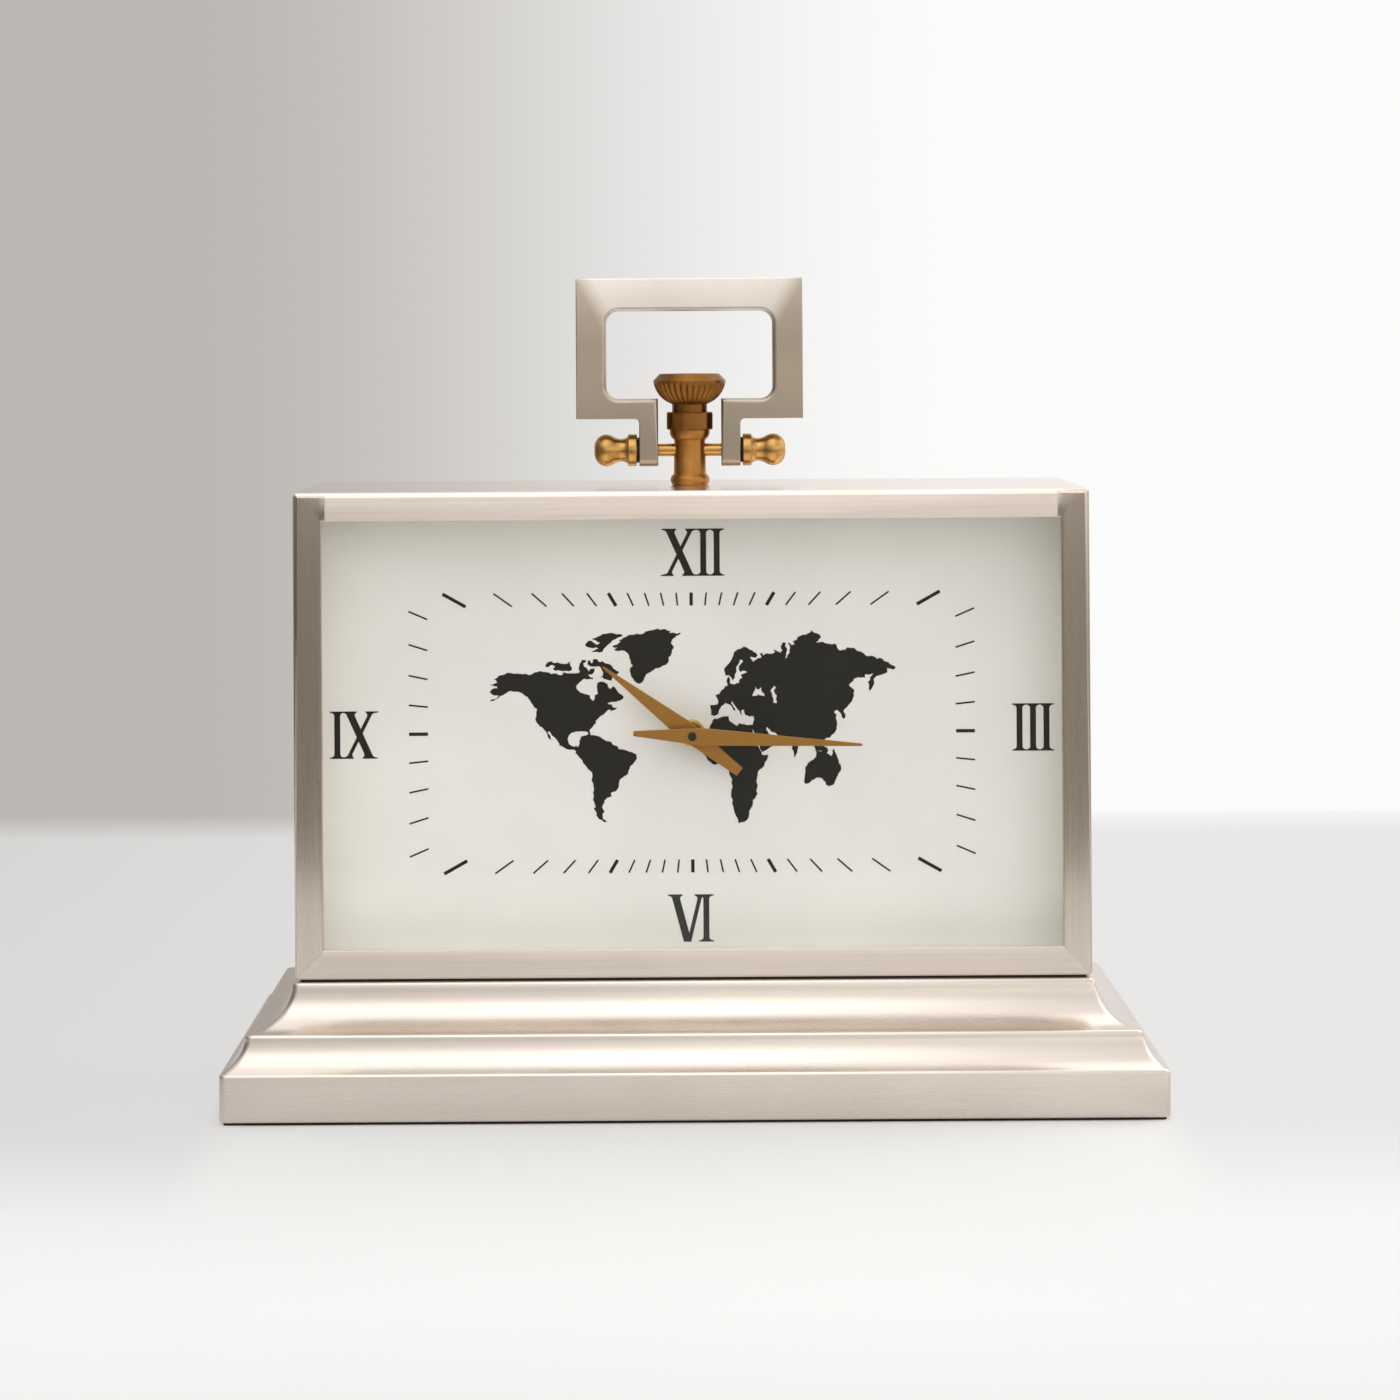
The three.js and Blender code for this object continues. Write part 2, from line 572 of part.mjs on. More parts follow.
// The twelve-sided collar and the fluted crown, stacked on the post.
function buildCrown() {
  const low = POST_TOP + TOUCH_GAP;
  const high = low + COLLAR_HEIGHT;
  const bore = POST_STUD_RADIUS + FIT_GAP;
  const chamfer = 0.4;
  const collar = [
    [bore, low],
    [COLLAR_RADIUS - chamfer, low],
    [COLLAR_RADIUS, low + chamfer],
    [COLLAR_RADIUS, high - chamfer],
    [COLLAR_RADIUS - chamfer, high],
    [bore, high],
    [bore, low],
  ];
  const flatToFront = Math.PI / COLLAR_SIDES;
  piece(handleGroup, "post_collar", "brass", revolve("z", collar, COLLAR_SIDES, flatToFront));

  const neckLow = high + TOUCH_GAP;
  const bowlLow = neckLow + CROWN_NECK_HEIGHT;
  const rim = CROWN_TOP - 2.9;
  const bowl = arc([CROWN_NECK_RADIUS + 0.3, bowlLow], [CROWN_RIM_RADIUS, rim], 1.6, 7);
  const profile = [
    [CROWN_NECK_RADIUS, neckLow, 0],
    [CROWN_NECK_RADIUS, bowlLow, 0],
    ...bowl.slice(0, -1).map(([radius, height]) => [radius, height, CROWN_FLUTE_DEPTH]),
    [CROWN_RIM_RADIUS, rim + 0.3, 0],
    [CROWN_TOP_RADIUS, CROWN_TOP - 0.3, 0],
    [CROWN_TOP_RADIUS - 0.8, CROWN_TOP, 0],
  ];
  const rings = profile.map(([radius, height, flute]) =>
    Array.from({ length: 2 * CROWN_FLUTES }, (_, i) => {
      const angle = (Math.PI * i) / CROWN_FLUTES;
      const reach = i % 2 ? radius - flute : radius;
      return new THREE.Vector3(reach * Math.cos(angle), reach * Math.sin(angle), height);
    }),
  );
  const stud = bar("z", POST_STUD_RADIUS, POST_TOP - 4, neckLow + 1, 16);
  piece(handleGroup, "crown_knob", "brass", join(skin(rings, false), stud));
}

// The cross pin, its washers and the turned finials on its ends.
function buildPin() {
  const washerLow = HANDLE_LEG.outer + TOUCH_GAP;
  const collarLow = washerLow + WASHER_THICKNESS + TOUCH_GAP;
  const collarHigh = collarLow + 4.4;
  const neckRadius = 4.7;
  const neckAt = collarHigh + 2.2;
  const bore = PIN_RADIUS + 0.2;
  const waist = 36;
  const finial = [
    [0, PIN_REACH + 0.5],
    [bore, PIN_REACH + 0.5],
    [bore, collarLow],
    [FINIAL_RADIUS - 0.5, collarLow],
    [FINIAL_RADIUS, collarLow + 0.5],
    [FINIAL_RADIUS, collarHigh - 0.5],
    [FINIAL_RADIUS - 0.5, collarHigh],
    [neckRadius + 0.5, neckAt - 1.2],
    [neckRadius, neckAt],
    ...arc([neckRadius + 0.5, neckAt + 1.2], [FINIAL_RADIUS, waist], 0.5, 3),
    ...arc([FINIAL_RADIUS, waist], [2, FINIAL_END - 0.2], 1.3, 5).slice(1),
    [0, FINIAL_END],
  ];
  const washer = [
    [bore, washerLow],
    [5.4, washerLow],
    [5.4, washerLow + WASHER_THICKNESS],
    [bore, washerLow + WASHER_THICKNESS],
    [bore, washerLow],
  ];
  const raise = (geometry) => geometry.translate(0, 0, PIN_HEIGHT);
  piece(handleGroup, "pivot_pin", "paleBrass", raise(bar("x", PIN_RADIUS, -PIN_REACH, PIN_REACH, 20)));
  for (const [side, axis] of [["left", "-x"], ["right", "x"]]) {
    piece(handleGroup, `${side}_finial`, "paleBrass", raise(revolve(axis, finial, 20)));
    piece(handleGroup, `${side}_washer`, "rubber", raise(revolve(axis, washer, 20)));
  }
}

// The handle: a rectangular loop open between its two legs, rounded over at the top and at the feet.
function buildHandle() {
  const half = HANDLE_WIDTH / 2;
  const innerHalf = half - HANDLE_BAR_SIDE;
  const innerTop = HANDLE_TOP - HANDLE_BAR_TOP;
  const { low: barLow, high: barHigh } = HANDLE_LOWER_BAR;
  const { inner, outer, low } = HANDLE_LEG;
  const innerRadius = 5.3;
  const right = [
    [inner, low, 0],
    [outer, low, 0],
    [outer, barLow, 1.8],
    [half, barLow, 1.6],
    [half, HANDLE_TOP, 2],
  ];
  const rightInside = [
    [innerHalf, innerTop, innerRadius],
    [innerHalf, barHigh, innerRadius],
    [inner, barHigh, 0],
  ];
  const mirror = (corners) => corners.map(([x, z, radius]) => [-x, z, radius]).reverse();
  const outline = [...right, ...mirror(right), ...mirror(rightInside), ...rightInside];
  const front = -HANDLE_THICKNESS / 2;
  const loop = standingPlate(roundedPolygon(outline), front, -front, HANDLE_EDGE, 2);
  const side = roundedPolygon([
    [front, low, HANDLE_FOOT_RADIUS],
    [-front, low, HANDLE_FOOT_RADIUS],
    [-front, HANDLE_TOP, HANDLE_TOP_RADIUS],
    [front, HANDLE_TOP, HANDLE_TOP_RADIUS],
  ]);
  const pinHole = bar("x", PIN_RADIUS + 0.35, -half, half, 20).translate(0, 0, PIN_HEIGHT);
  piece(handleGroup, "handle", "nickel", cut(common(loop, crossBeam(side, -half, half)), pinHole));
}

// Movement, in the movement group whose origin is at the dial centre on the dial's back

const HOUSING_FRONT = BUSH_GASKET;
const HOUSING_BACK = HOUSING_FRONT + MOVEMENT_DEPTH;
const GEAR_ROOM_FRONT = HOUSING_FRONT + MOVEMENT_WALL;
const COVER_FRONT = HOUSING_BACK - MOVEMENT_WALL;
const GEAR_ROOM_LOW = -9.2;
const HOUR_WHEEL_FRONT = GEAR_ROOM_FRONT + 0.6;
const MINUTE_WHEEL_FRONT = HOUR_WHEEL_FRONT + GEAR_THICKNESS + 1;
const GEAR_BEARING = THREE.MathUtils.degToRad(GEAR_BEARING_DEG);
const SETTING_X = GEAR_CENTRES * Math.cos(GEAR_BEARING);
const SETTING_Z = GEAR_CENTRES * Math.sin(GEAR_BEARING);

function buildHousing() {
  const half = MOVEMENT_SIZE / 2;
  const inner = half - MOVEMENT_WALL;
  const body = standingPlate(rectangleShape(half, half, 3), HOUSING_FRONT, HOUSING_BACK);
  const bush = bar("y", BUSH_RADIUS, -DIAL_THICKNESS - BUSH_LENGTH, HOUSING_FRONT + 1, 24);
  const gearRoom = block([-inner, inner], [GEAR_ROOM_FRONT, HOUSING_BACK + 1], [GEAR_ROOM_LOW, inner]);
  const batteryBay = block(
    [-inner, inner],
    [GEAR_ROOM_FRONT, HOUSING_BACK + 1],
    [-inner, GEAR_ROOM_LOW - MOVEMENT_WALL],
  );
  const bushBore = bar("y", BUSH_BORE, -DIAL_THICKNESS - BUSH_LENGTH - 1, GEAR_ROOM_FRONT + 1, 24);
  const pivotHole = bar("y", 0.9, HOUSING_FRONT - 1, GEAR_ROOM_FRONT + 1, 12);
  pivotHole.translate(SETTING_X, 0, SETTING_Z);
  const housing = cut(join(body, bush), gearRoom, batteryBay, bushBore, pivotHole);
  piece(movementGroup, "movement_housing", "blackPlastic", housing);

  const gap = 0.2;
  const coverHeight = inner - GEAR_ROOM_LOW;
  const lid = block(
    [-inner + gap, inner - gap],
    [COVER_FRONT, HOUSING_BACK],
    [GEAR_ROOM_LOW + gap, GEAR_ROOM_LOW + coverHeight - gap],
  );
  const shaftHole = bar("y", SETTING_SHAFT_RADIUS + 0.4, 0, 30, 16).translate(SETTING_X, 0, SETTING_Z);
  const arborHole = bar("y", 1.3, 0, 30, 16);
  piece(movementGroup, "movement_cover", "blackPlastic", cut(lid, shaftHole, arborHole));

  const seat = ringAboutY(BUSH_RADIUS + 0.3, 9, TOUCH_GAP, BUSH_GASKET - TOUCH_GAP);
  piece(movementGroup, "bush_gasket", "rubber", seat);

  const nutBack = -DIAL_THICKNESS - TOUCH_GAP;
  const nutFront = nutBack - BUSH_NUT_HEIGHT;
  const nutBore = BUSH_RADIUS + 0.15;
  const nut = [
    [nutBore, nutFront],
    [BUSH_NUT_RADIUS - 0.7, nutFront],
    [BUSH_NUT_RADIUS, nutFront + 0.7],
    [BUSH_NUT_RADIUS, nutBack],
    [nutBore, nutBack],
    [nutBore, nutFront],
  ];
  piece(movementGroup, "bush_nut", "paleBrass", revolve("y", nut, 28));
}

// A toothed outline. One tooth points along the phase angle, measured from X towards Z.
function gearShape(teeth, module, phase) {
  const tip = (module * teeth) / 2 + 0.85 * module;
  const root = (module * teeth) / 2 - 1.15 * module;
  const step = (2 * Math.PI) / teeth;
  const flank = [[root, -0.29], [tip, -0.11], [tip, 0.11], [root, 0.29]];
  const points = Array.from({ length: teeth }, (_, i) =>
    flank.map(([radius, share]) => {
      const angle = phase + step * (i + share);
      return new THREE.Vector2(radius * Math.cos(angle), radius * Math.sin(angle));
    }),
  );
  return new THREE.Shape(points.flat());
}

// Motion work: pinion on the minute arbor, minute wheel with its own pinion, hour wheel on its pipe.
function buildMotionWork() {
  const firstModule = (2 * GEAR_CENTRES) / (PINION_TEETH + MINUTE_WHEEL_TEETH);
  const secondModule = (2 * GEAR_CENTRES) / (MINUTE_PINION_TEETH + HOUR_WHEEL_TEETH);
  const gapTowardsMate = (teeth) => GEAR_BEARING + Math.PI / teeth;
  const toothTowardsMate = GEAR_BEARING + Math.PI;
  const tipDepth = -DIAL_THICKNESS - ARBOR_TIP_HEIGHT;

  const pinionFront = MINUTE_WHEEL_FRONT - 0.5;
  const pinionBack = MINUTE_WHEEL_FRONT + GEAR_THICKNESS + 0.5;
  const pinionOutline = gearShape(PINION_TEETH, firstModule, gapTowardsMate(PINION_TEETH));
  const pinion = standingPlate(pinionOutline, pinionFront, pinionBack);
  const arbor = bar("y", ARBOR_RADIUS, tipDepth, pinionFront + 1, 20);
  const rearPivot = bar("y", 1, pinionBack - 1, HOUSING_BACK - 0.6, 12);
  piece(movementGroup, "minute_arbor", "blackMetal", join(arbor, pinion, rearPivot));

  const pipeFront = -DIAL_THICKNESS - HOUR_HAND.height - HAND_THICKNESS - 0.4;
  const hourOutline = gearShape(HOUR_WHEEL_TEETH, secondModule, gapTowardsMate(HOUR_WHEEL_TEETH));
  const hourDisc = standingPlate(hourOutline, HOUR_WHEEL_FRONT, HOUR_WHEEL_FRONT + GEAR_THICKNESS);
  const pipe = bar("y", HOUR_PIPE_RADIUS, pipeFront, HOUR_WHEEL_FRONT + 0.5, 20);
  const pipeBore = bar("y", HOUR_PIPE_BORE, pipeFront - 1, HOUR_WHEEL_FRONT + GEAR_THICKNESS + 1, 20);
  piece(movementGroup, "hour_wheel", "whitePlastic", cut(join(hourDisc, pipe), pipeBore));

  const wheelOutline = gearShape(MINUTE_WHEEL_TEETH, firstModule, toothTowardsMate);
  const smallOutline = gearShape(MINUTE_PINION_TEETH, secondModule, toothTowardsMate);
  const wheel = standingPlate(wheelOutline, MINUTE_WHEEL_FRONT, MINUTE_WHEEL_FRONT + GEAR_THICKNESS);
  const small = standingPlate(smallOutline, HOUR_WHEEL_FRONT - 0.3, MINUTE_WHEEL_FRONT + 0.5);
  const shaft = bar("y", SETTING_SHAFT_RADIUS, MINUTE_WHEEL_FRONT, HOUSING_BACK + 4.6, 16);
  const frontPivot = bar("y", 0.6, HOUSING_FRONT + 0.3, HOUR_WHEEL_FRONT + 0.3, 10);
  const settingWheel = join(wheel, small, shaft, frontPivot).translate(SETTING_X, 0, SETTING_Z);
  piece(movementGroup, "minute_wheel", "whitePlastic", settingWheel);

  const knobOutline = addRoundHole(gearShape(18, 0.55, 0), 0, 0, SETTING_SHAFT_RADIUS + 0.15);
  const knob = standingPlate(knobOutline, HOUSING_BACK + 1, HOUSING_BACK + 5);
  piece(movementGroup, "setting_knob", "whitePlastic", knob.translate(SETTING_X, 0, SETTING_Z));
}

// The drive: battery with its contacts, circuit board with its crystal, coil and stator.
function buildDrive() {
  const inner = MOVEMENT_SIZE / 2 - MOVEMENT_WALL;
  const batteryDepth = GEAR_ROOM_FRONT + BATTERY_RADIUS + 0.3;
  const end = BATTERY_LENGTH / 2;
  const cell = [
    [0, -end],
    [BATTERY_RADIUS - 0.5, -end],
    [BATTERY_RADIUS, 0.5 - end],
    [BATTERY_RADIUS, end - 0.5],
    [BATTERY_RADIUS - 0.5, end],
    [2.7, end],
    [2.7, end + 1.2],
    [0, end + 1.2],
  ];
  const battery = revolve("x", cell, 20).translate(-0.6, batteryDepth, BATTERY_HEIGHT);
  piece(movementGroup, "battery", "steel", battery);

  const leafDepths = [GEAR_ROOM_FRONT + 2, HOUSING_BACK - 1];
  const leafHeights = [BATTERY_HEIGHT - 4.5, BATTERY_HEIGHT + 4.5];
  const spring = (low, high) => block([low, high], leafDepths, leafHeights);
  piece(movementGroup, "battery_contact_negative", "steel", spring(TOUCH_GAP - inner, 0.6 - inner));
  piece(movementGroup, "battery_contact_positive", "steel", spring(inner - 0.6, inner - TOUCH_GAP));

  const boardHigh = inner - 0.5;
  const board = block([-24, 4], [COVER_FRONT - 3, COVER_FRONT - 2], [boardHigh - 9, boardHigh]);
  piece(movementGroup, "circuit_board", "circuit", board);
  const can = bar("x", 1.1, -20, -13.5, 12).translate(0, COVER_FRONT - 4.3, boardHigh - 4);
  piece(movementGroup, "quartz_crystal", "steel", can);

  const coilX = -18.5;
  const coilDepth = GEAR_ROOM_FRONT + 5;
  const spool = [
    [0, -7.5],
    [4, -7.5],
    [4, -6.7],
    [3.4, -6.7],
    [3.4, 6.7],
    [4, 6.7],
    [4, 7.5],
    [0, 7.5],
  ];
  piece(movementGroup, "drive_coil", "copper", revolve("z", spool, 16).translate(coilX, coilDepth, 1));
  const yoke = roundedPolygon([
    [coilX - 4, -8.4, 0.5],
    [-11.5, -8.4, 1],
    [-11.5, 10.4, 1],
    [coilX - 4, 10.4, 0.5],
    [coilX - 4, 9, 0.5],
    [-13.3, 9, 0.5],
    [-13.3, -7, 0.5],
    [coilX - 4, -7, 0.5],
  ]);
  piece(movementGroup, "stator", "steel", standingPlate(yoke, coilDepth - 0.6, coilDepth + 0.6));
}

// A hand that points to twelve before it is turned: blunt tail, widest past the pivot, slim tip.
function handGeometry({ length, tail, width, tip, end, height }, bore) {
  const right = [[end / 2, -tail], [width / 2, HAND_SHOULDER], [tip / 2, length]];
  const left = right.map(([x, z]) => [-x, z]).reverse();
  const outline = [...right, ...left].map(([x, z]) => new THREE.Vector2(x, z));
  const back = -DIAL_THICKNESS - height;
  return standingPlate(addRoundHole(new THREE.Shape(outline), 0, 0, bore), back - HAND_THICKNESS, back);
}

function buildHands() {
  const minuteAngle = (CLOCK_MINUTES / 60) * 2 * Math.PI;
  const hourAngle = ((CLOCK_HOURS + CLOCK_MINUTES / 60) / 12) * 2 * Math.PI;
  const hour = handGeometry(HOUR_HAND, HOUR_PIPE_RADIUS + 0.1).rotateY(hourAngle);
  const minute = handGeometry(MINUTE_HAND, ARBOR_RADIUS + 0.1).rotateY(minuteAngle);
  piece(movementGroup, "hour_hand", "brass", hour);
  piece(movementGroup, "minute_hand", "brass", minute);
}

buildBase();
buildCaseBolts();
buildCase();
buildDial();
buildBack();
buildPost();
buildCrown();
buildPin();
buildHandle();
buildHousing();
buildMotionWork();
buildDrive();
buildHands();

export default clock;
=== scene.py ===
"""Looks of the table clock: brushed nickel, turned brass, a printed dial behind glass, soft studio light."""

import math
import random

import bmesh
import bpy
from mathutils import Euler, Matrix, Vector


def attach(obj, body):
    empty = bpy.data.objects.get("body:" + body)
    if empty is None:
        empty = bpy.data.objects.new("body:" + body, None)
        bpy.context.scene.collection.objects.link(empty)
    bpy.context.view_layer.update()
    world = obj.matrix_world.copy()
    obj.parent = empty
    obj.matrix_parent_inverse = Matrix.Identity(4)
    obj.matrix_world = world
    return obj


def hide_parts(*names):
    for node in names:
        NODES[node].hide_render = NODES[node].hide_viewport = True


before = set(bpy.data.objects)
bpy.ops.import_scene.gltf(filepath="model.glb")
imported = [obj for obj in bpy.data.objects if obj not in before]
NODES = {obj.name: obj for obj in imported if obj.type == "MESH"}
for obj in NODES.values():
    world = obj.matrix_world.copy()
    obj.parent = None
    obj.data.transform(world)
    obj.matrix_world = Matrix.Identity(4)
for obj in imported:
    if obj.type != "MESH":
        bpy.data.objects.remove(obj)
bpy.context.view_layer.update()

MM = 0.001

# Sizes in millimetres, the same as the solids have unless a comment says otherwise
CASE_HALF = (163.5, 47.0, 99.75)
CASE_BOTTOM = 52.5
CASE_MIDDLE = CASE_BOTTOM + CASE_HALF[2]
CASE_TOP = CASE_MIDDLE + CASE_HALF[2]
CASE_WALL = 2.0
CASE_EDGE, CASE_LOW_EDGE = 2.0, 0.6
CASE_CROWN = 0.4  # only here: the bezel's front is slightly domed
BEZEL = 11.75
BASE_TOP = 51.5
BASE_OVERHANG = 27.5
DIAL_FRONT = -27.0
DIAL_CENTRE = CASE_MIDDLE - 2.0
PIN_HEIGHT = CASE_TOP + 15.0
BACK_FACE = 45.5
SCREWS = [(-110, -91.75), (110, -91.75), (-110, 91.75), (110, 91.75), (-155.5, 0), (155.5, 0)]
HANDLE_TOP, HANDLE_FOOT = 88.1, 8.2  # above the case
HANDLE_HALF_DEPTH, HANDLE_FOOT_RADIUS = 6.0, 3.6

# Sizes that are only here. Above the roll's height the handle's two faces lean in, each by the thinning
HANDLE_INNER_TOP, HANDLE_EDGE, HANDLE_OPENING_EDGE = 74.1, 0.5, 1.8
HANDLE_ROLL, HANDLE_THINNING = 60.0, 3.2
BRUSH_DEPTH, RING_DEPTH = 0.06, 0.05  # of the metals' relief
CAMERA, CAMERA_ROLL = (-6.05, -1247.0, 315.2), 0.368  # the roll in degrees

MINUTES_PAST_TEN = 15.53


# Node trees

class Nodes:
    """A node tree, with a short call for each kind of node that is used here."""

    def __init__(self, tree):
        self.tree = tree

    def add(self, kind, settings=None, inputs=None):
        made = self.tree.nodes.new("ShaderNode" + kind)
        for key, value in (settings or {}).items():
            setattr(made, key, value)
        for key, value in (inputs or {}).items():
            if isinstance(value, bpy.types.NodeSocket):
                self.tree.links.new(value, made.inputs[key])
            else:
                made.inputs[key].default_value = value
        return made

    def xyz(self, output="Object"):
        coords = self.add("TexCoord").outputs[output]
        return tuple(self.add("SeparateXYZ", inputs={"Vector": coords}).outputs)

    def noise(self, scale, detail, rough, offset=0.0, axis=None, axis_scale=None):
        """Noise of one scale, or of another along one axis."""
        scales = [scale] * 3
        if axis:
            scales["XYZ".index(axis)] = axis_scale
        place = self.add("Mapping", inputs={
            "Vector": self.add("TexCoord").outputs["Object"], "Scale": scales, "Location": [offset] * 3})
        return self.add("TexNoise", inputs={
            "Vector": place.outputs["Vector"], "Scale": 1.0, "Detail": detail, "Roughness": rough}).outputs["Fac"]

    def span(self, value, low, high, spread=(0.3, 0.7)):
        """From low to high as a value goes across a spread, which by default is a noise's usual one."""
        return self.add("MapRange", inputs={
            "Value": value, "From Min": spread[0], "From Max": spread[1], "To Min": low, "To Max": high,
        }).outputs["Result"]

    def maths(self, a, b, operation="MULTIPLY"):
        return self.add("Math", {"operation": operation}, {0: a, 1: b}).outputs["Value"]

    def mix(self, kind, factor, a, b):
        return self.add("Mix", {"data_type": kind}, {"Factor": factor, "A": a, "B": b}).outputs["Result"]

    def scaled(self, colour, factor):
        """A colour made lighter or darker by a factor."""
        return self.add("VectorMath", {"operation": "SCALE"}, {0: colour, "Scale": factor}).outputs["Vector"]

    def ramp(self, value, stops, interpolation="LINEAR"):
        made = self.add("ValToRGB", inputs={"Fac": value})
        elements = made.color_ramp.elements
        for i in range(1, len(stops) - 1):
            elements.new(i / (len(stops) - 1))
        for element, (place, colour) in zip(elements, stops):
            element.position = place
            element.color = (*colour, 1)
        made.color_ramp.interpolation = interpolation
        return made.outputs["Color"]

    def tangent(self, axis):
        return self.add("Tangent", {"direction_type": "RADIAL", "axis": axis}).outputs["Tangent"]


class Surface(Nodes):
    """A new material, its node tree and its shader."""

    def __init__(self, name, **constants):
        self.material = bpy.data.materials.new(name)
        self.material.use_nodes = True
        super().__init__(self.material.node_tree)
        self.shader = self.tree.nodes["Principled BSDF"]
        for key, value in constants.items():
            self.shader.inputs[key.replace("_", " ")].default_value = value

    def wire(self, **sockets):
        for key, socket in sockets.items():
            self.tree.links.new(socket, self.shader.inputs[key.replace("_", " ")])

    def bump(self, height, strength, depth):
        made = self.add("Bump", inputs={"Height": height, "Strength": strength, "Distance": depth * MM})
        self.wire(Normal=made.outputs["Normal"])


# Materials

def brush_lines(g, axis):
    return g.noise(3200.0, 4.0, 0.6, 0.0, axis, 22.0)


def brush_bands(g, axis):
    return g.noise(700.0, 2.0, 0.5, 3.1, axis, 6.0)


def brush_light(g, lines, bands, contrast, cloud):
    """How light brushed metal is: by fine lines, coarser bands and faint cloudy handling marks."""
    light = g.maths(g.span(lines, 1 - contrast, 1 + contrast * 0.6),
                    g.span(bands, 1 - contrast * 0.7, 1 + contrast * 0.4))
    return g.maths(light, g.span(g.noise(14.0, 3.0, 0.5, 7.7), cloud, 1.03))


def brushed(name, colour, axis, roughness, anisotropy, contrast=0.06, relief=0.08):
    """Satin metal with brush lines along an axis."""
    g = Surface(name, Metallic=1.0, Anisotropic=anisotropy)
    lines = brush_lines(g, axis)
    light = brush_light(g, lines, brush_bands(g, axis), contrast, 0.95)
    g.wire(Base_Color=g.scaled(colour, light), Roughness=g.span(lines, roughness - contrast, roughness + contrast),
           Tangent=g.tangent(axis))
    g.bump(lines, relief, BRUSH_DEPTH)
    return g.material


def bezel_metal(name, colour, dark, roughness, anisotropy, contrast):
    """Satin metal of the case: brushed along at the top and bottom, upright at the sides. The top bar's colour is made
    lighter as a painted highlight, and the uprights get a darker colour as painted shade.
    """
    g = Surface(name, Metallic=1.0, Anisotropic=anisotropy)
    x, y, z = g.xyz()
    across = g.maths(x, 0.0, "ABSOLUTE")
    drop = g.maths(CASE_MIDDLE * MM, z, "SUBTRACT")
    front_depth, mitre_blend = 2.2, 0.4
    # Painted highlight: the first factor lightens the top bar's colour, the second lightens the uprights' colour
    # slightly.
    painted_top_light, painted_side_light, outer_roughness = 1.23, 1.02, 0.13
    behind = g.maths(y, (front_depth - CASE_HALF[1]) * MM, "GREATER_THAN")
    rise = g.maths(g.maths(drop, -1.0), g.maths(behind, 1.0, "SUBTRACT"), "ADD")
    mitre = g.maths(g.maths(drop, rise, "MAXIMUM"), (CASE_HALF[0] - CASE_HALF[2]) * MM, "ADD")
    limit = g.maths(mitre, (CASE_HALF[0] - BEZEL - 1.5) * MM, "MAXIMUM")
    upright = g.span(g.maths(across, limit, "SUBTRACT"), 0.0, 1.0, (-mitre_blend * MM, mitre_blend * MM))
    lines = g.mix("FLOAT", upright, brush_lines(g, "X"), brush_lines(g, "Z"))
    bands = g.mix("FLOAT", upright, brush_bands(g, "X"), brush_bands(g, "Z"))
    light = brush_light(g, lines, bands, contrast, 0.96)
    light = g.maths(light, g.mix("FLOAT", upright, g.span(drop, painted_top_light, 1.0, (-0.05, 0.05)), painted_side_light))
    # The uprights' darker colour is painted shade on the same nickel.
    hue = g.mix("RGBA", upright, (*colour, 1), (*dark, 1))
    rough = g.mix("FLOAT", behind, g.mix("FLOAT", upright, roughness, 0.7 * roughness), outer_roughness)
    g.wire(Base_Color=g.scaled(hue, light), Roughness=g.maths(rough, g.span(lines, 0.86, 1.18)),
           Tangent=g.mix("VECTOR", upright, g.tangent("X"), g.tangent("Z")))
    g.bump(lines, 0.12, BRUSH_DEPTH)
    return g.material


def handle_metal(name, colour, dark, roughness, contrast):
    """Satin metal of the handle: brushed along on the top beam, brushed upright elsewhere. The beam's lighter colour
    is a painted highlight and the darker colour elsewhere is painted shade, darker still toward the feet and at the
    uprights' tops beside the beam.
    """
    g = Surface(name, Metallic=1.0)
    x, _, z = g.xyz()
    leg_low, leg_high, beam_low, beam_high = ((CASE_TOP + height) * MM for height in (20, 45, 55, 72))
    high = g.span(z, 0.0, 1.0, (beam_low, beam_high))
    lean = 0.55
    reach = g.maths(g.maths(x, 0.0, "ABSOLUTE"), g.maths(z, lean), "SUBTRACT")
    corner = 0.037 - lean * (CASE_TOP + 74) * MM
    beam = g.maths(high, g.span(reach, 1.0, 0.0, (corner - 0.004, corner + 0.004)))
    lines = g.mix("FLOAT", beam, brush_lines(g, "Z"), brush_lines(g, "X"))
    clouds = g.noise(40.0, 3.0, 0.5, 7.7, "Z", 25.0)
    light = g.maths(g.span(lines, 1 - contrast, 1 + contrast), g.span(clouds, 0.95, 1.04))
    # Painted shade: the legs darken toward their feet.
    painted_leg_shade = g.span(z, 0.84, 1.0, (leg_low, leg_high))
    # Painted shade: the uprights' tops beside the beam's corners are darker.
    edge = g.maths(high, g.span(reach, 0.0, 1.0, (corner, corner + 0.005)))
    light = g.maths(g.maths(light, painted_leg_shade), g.span(edge, 1.0, 0.85, (0.0, 1.0)))
    # The beam's lighter colour is a painted highlight, the darker colour elsewhere painted shade.
    hue = g.mix("RGBA", beam, (*dark, 1), (*colour, 1))
    g.wire(Base_Color=g.scaled(hue, light), Roughness=g.span(lines, roughness - 0.05, roughness + 0.06))
    g.bump(lines, 0.08, BRUSH_DEPTH)
    return g.material


def turned(name, colour, dark, axis, roughness, anisotropy=0.45):
    """Lathe-turned brass: fine rings round the axis, with darker tarnish gathered in clouds."""
    g = Surface(name, Metallic=1.0, Anisotropic=anisotropy, Anisotropic_Rotation=0.25)
    rings = g.noise(40.0, 3.0, 0.6, 0.0, axis, 2600.0)
    clouds = g.noise(90.0, 4.0, 0.6, 5.3)
    tarnish = g.mix("RGBA", g.span(clouds, 0.0, 0.5, (0.38, 0.72)), (*colour, 1), (*dark, 1))
    g.wire(Base_Color=g.scaled(tarnish, g.span(rings, 0.9, 1.06)),
           Roughness=g.span(rings, roughness - 0.06, roughness + 0.1), Tangent=g.tangent(axis))
    g.bump(rings, 0.1, RING_DEPTH)
    return g.material


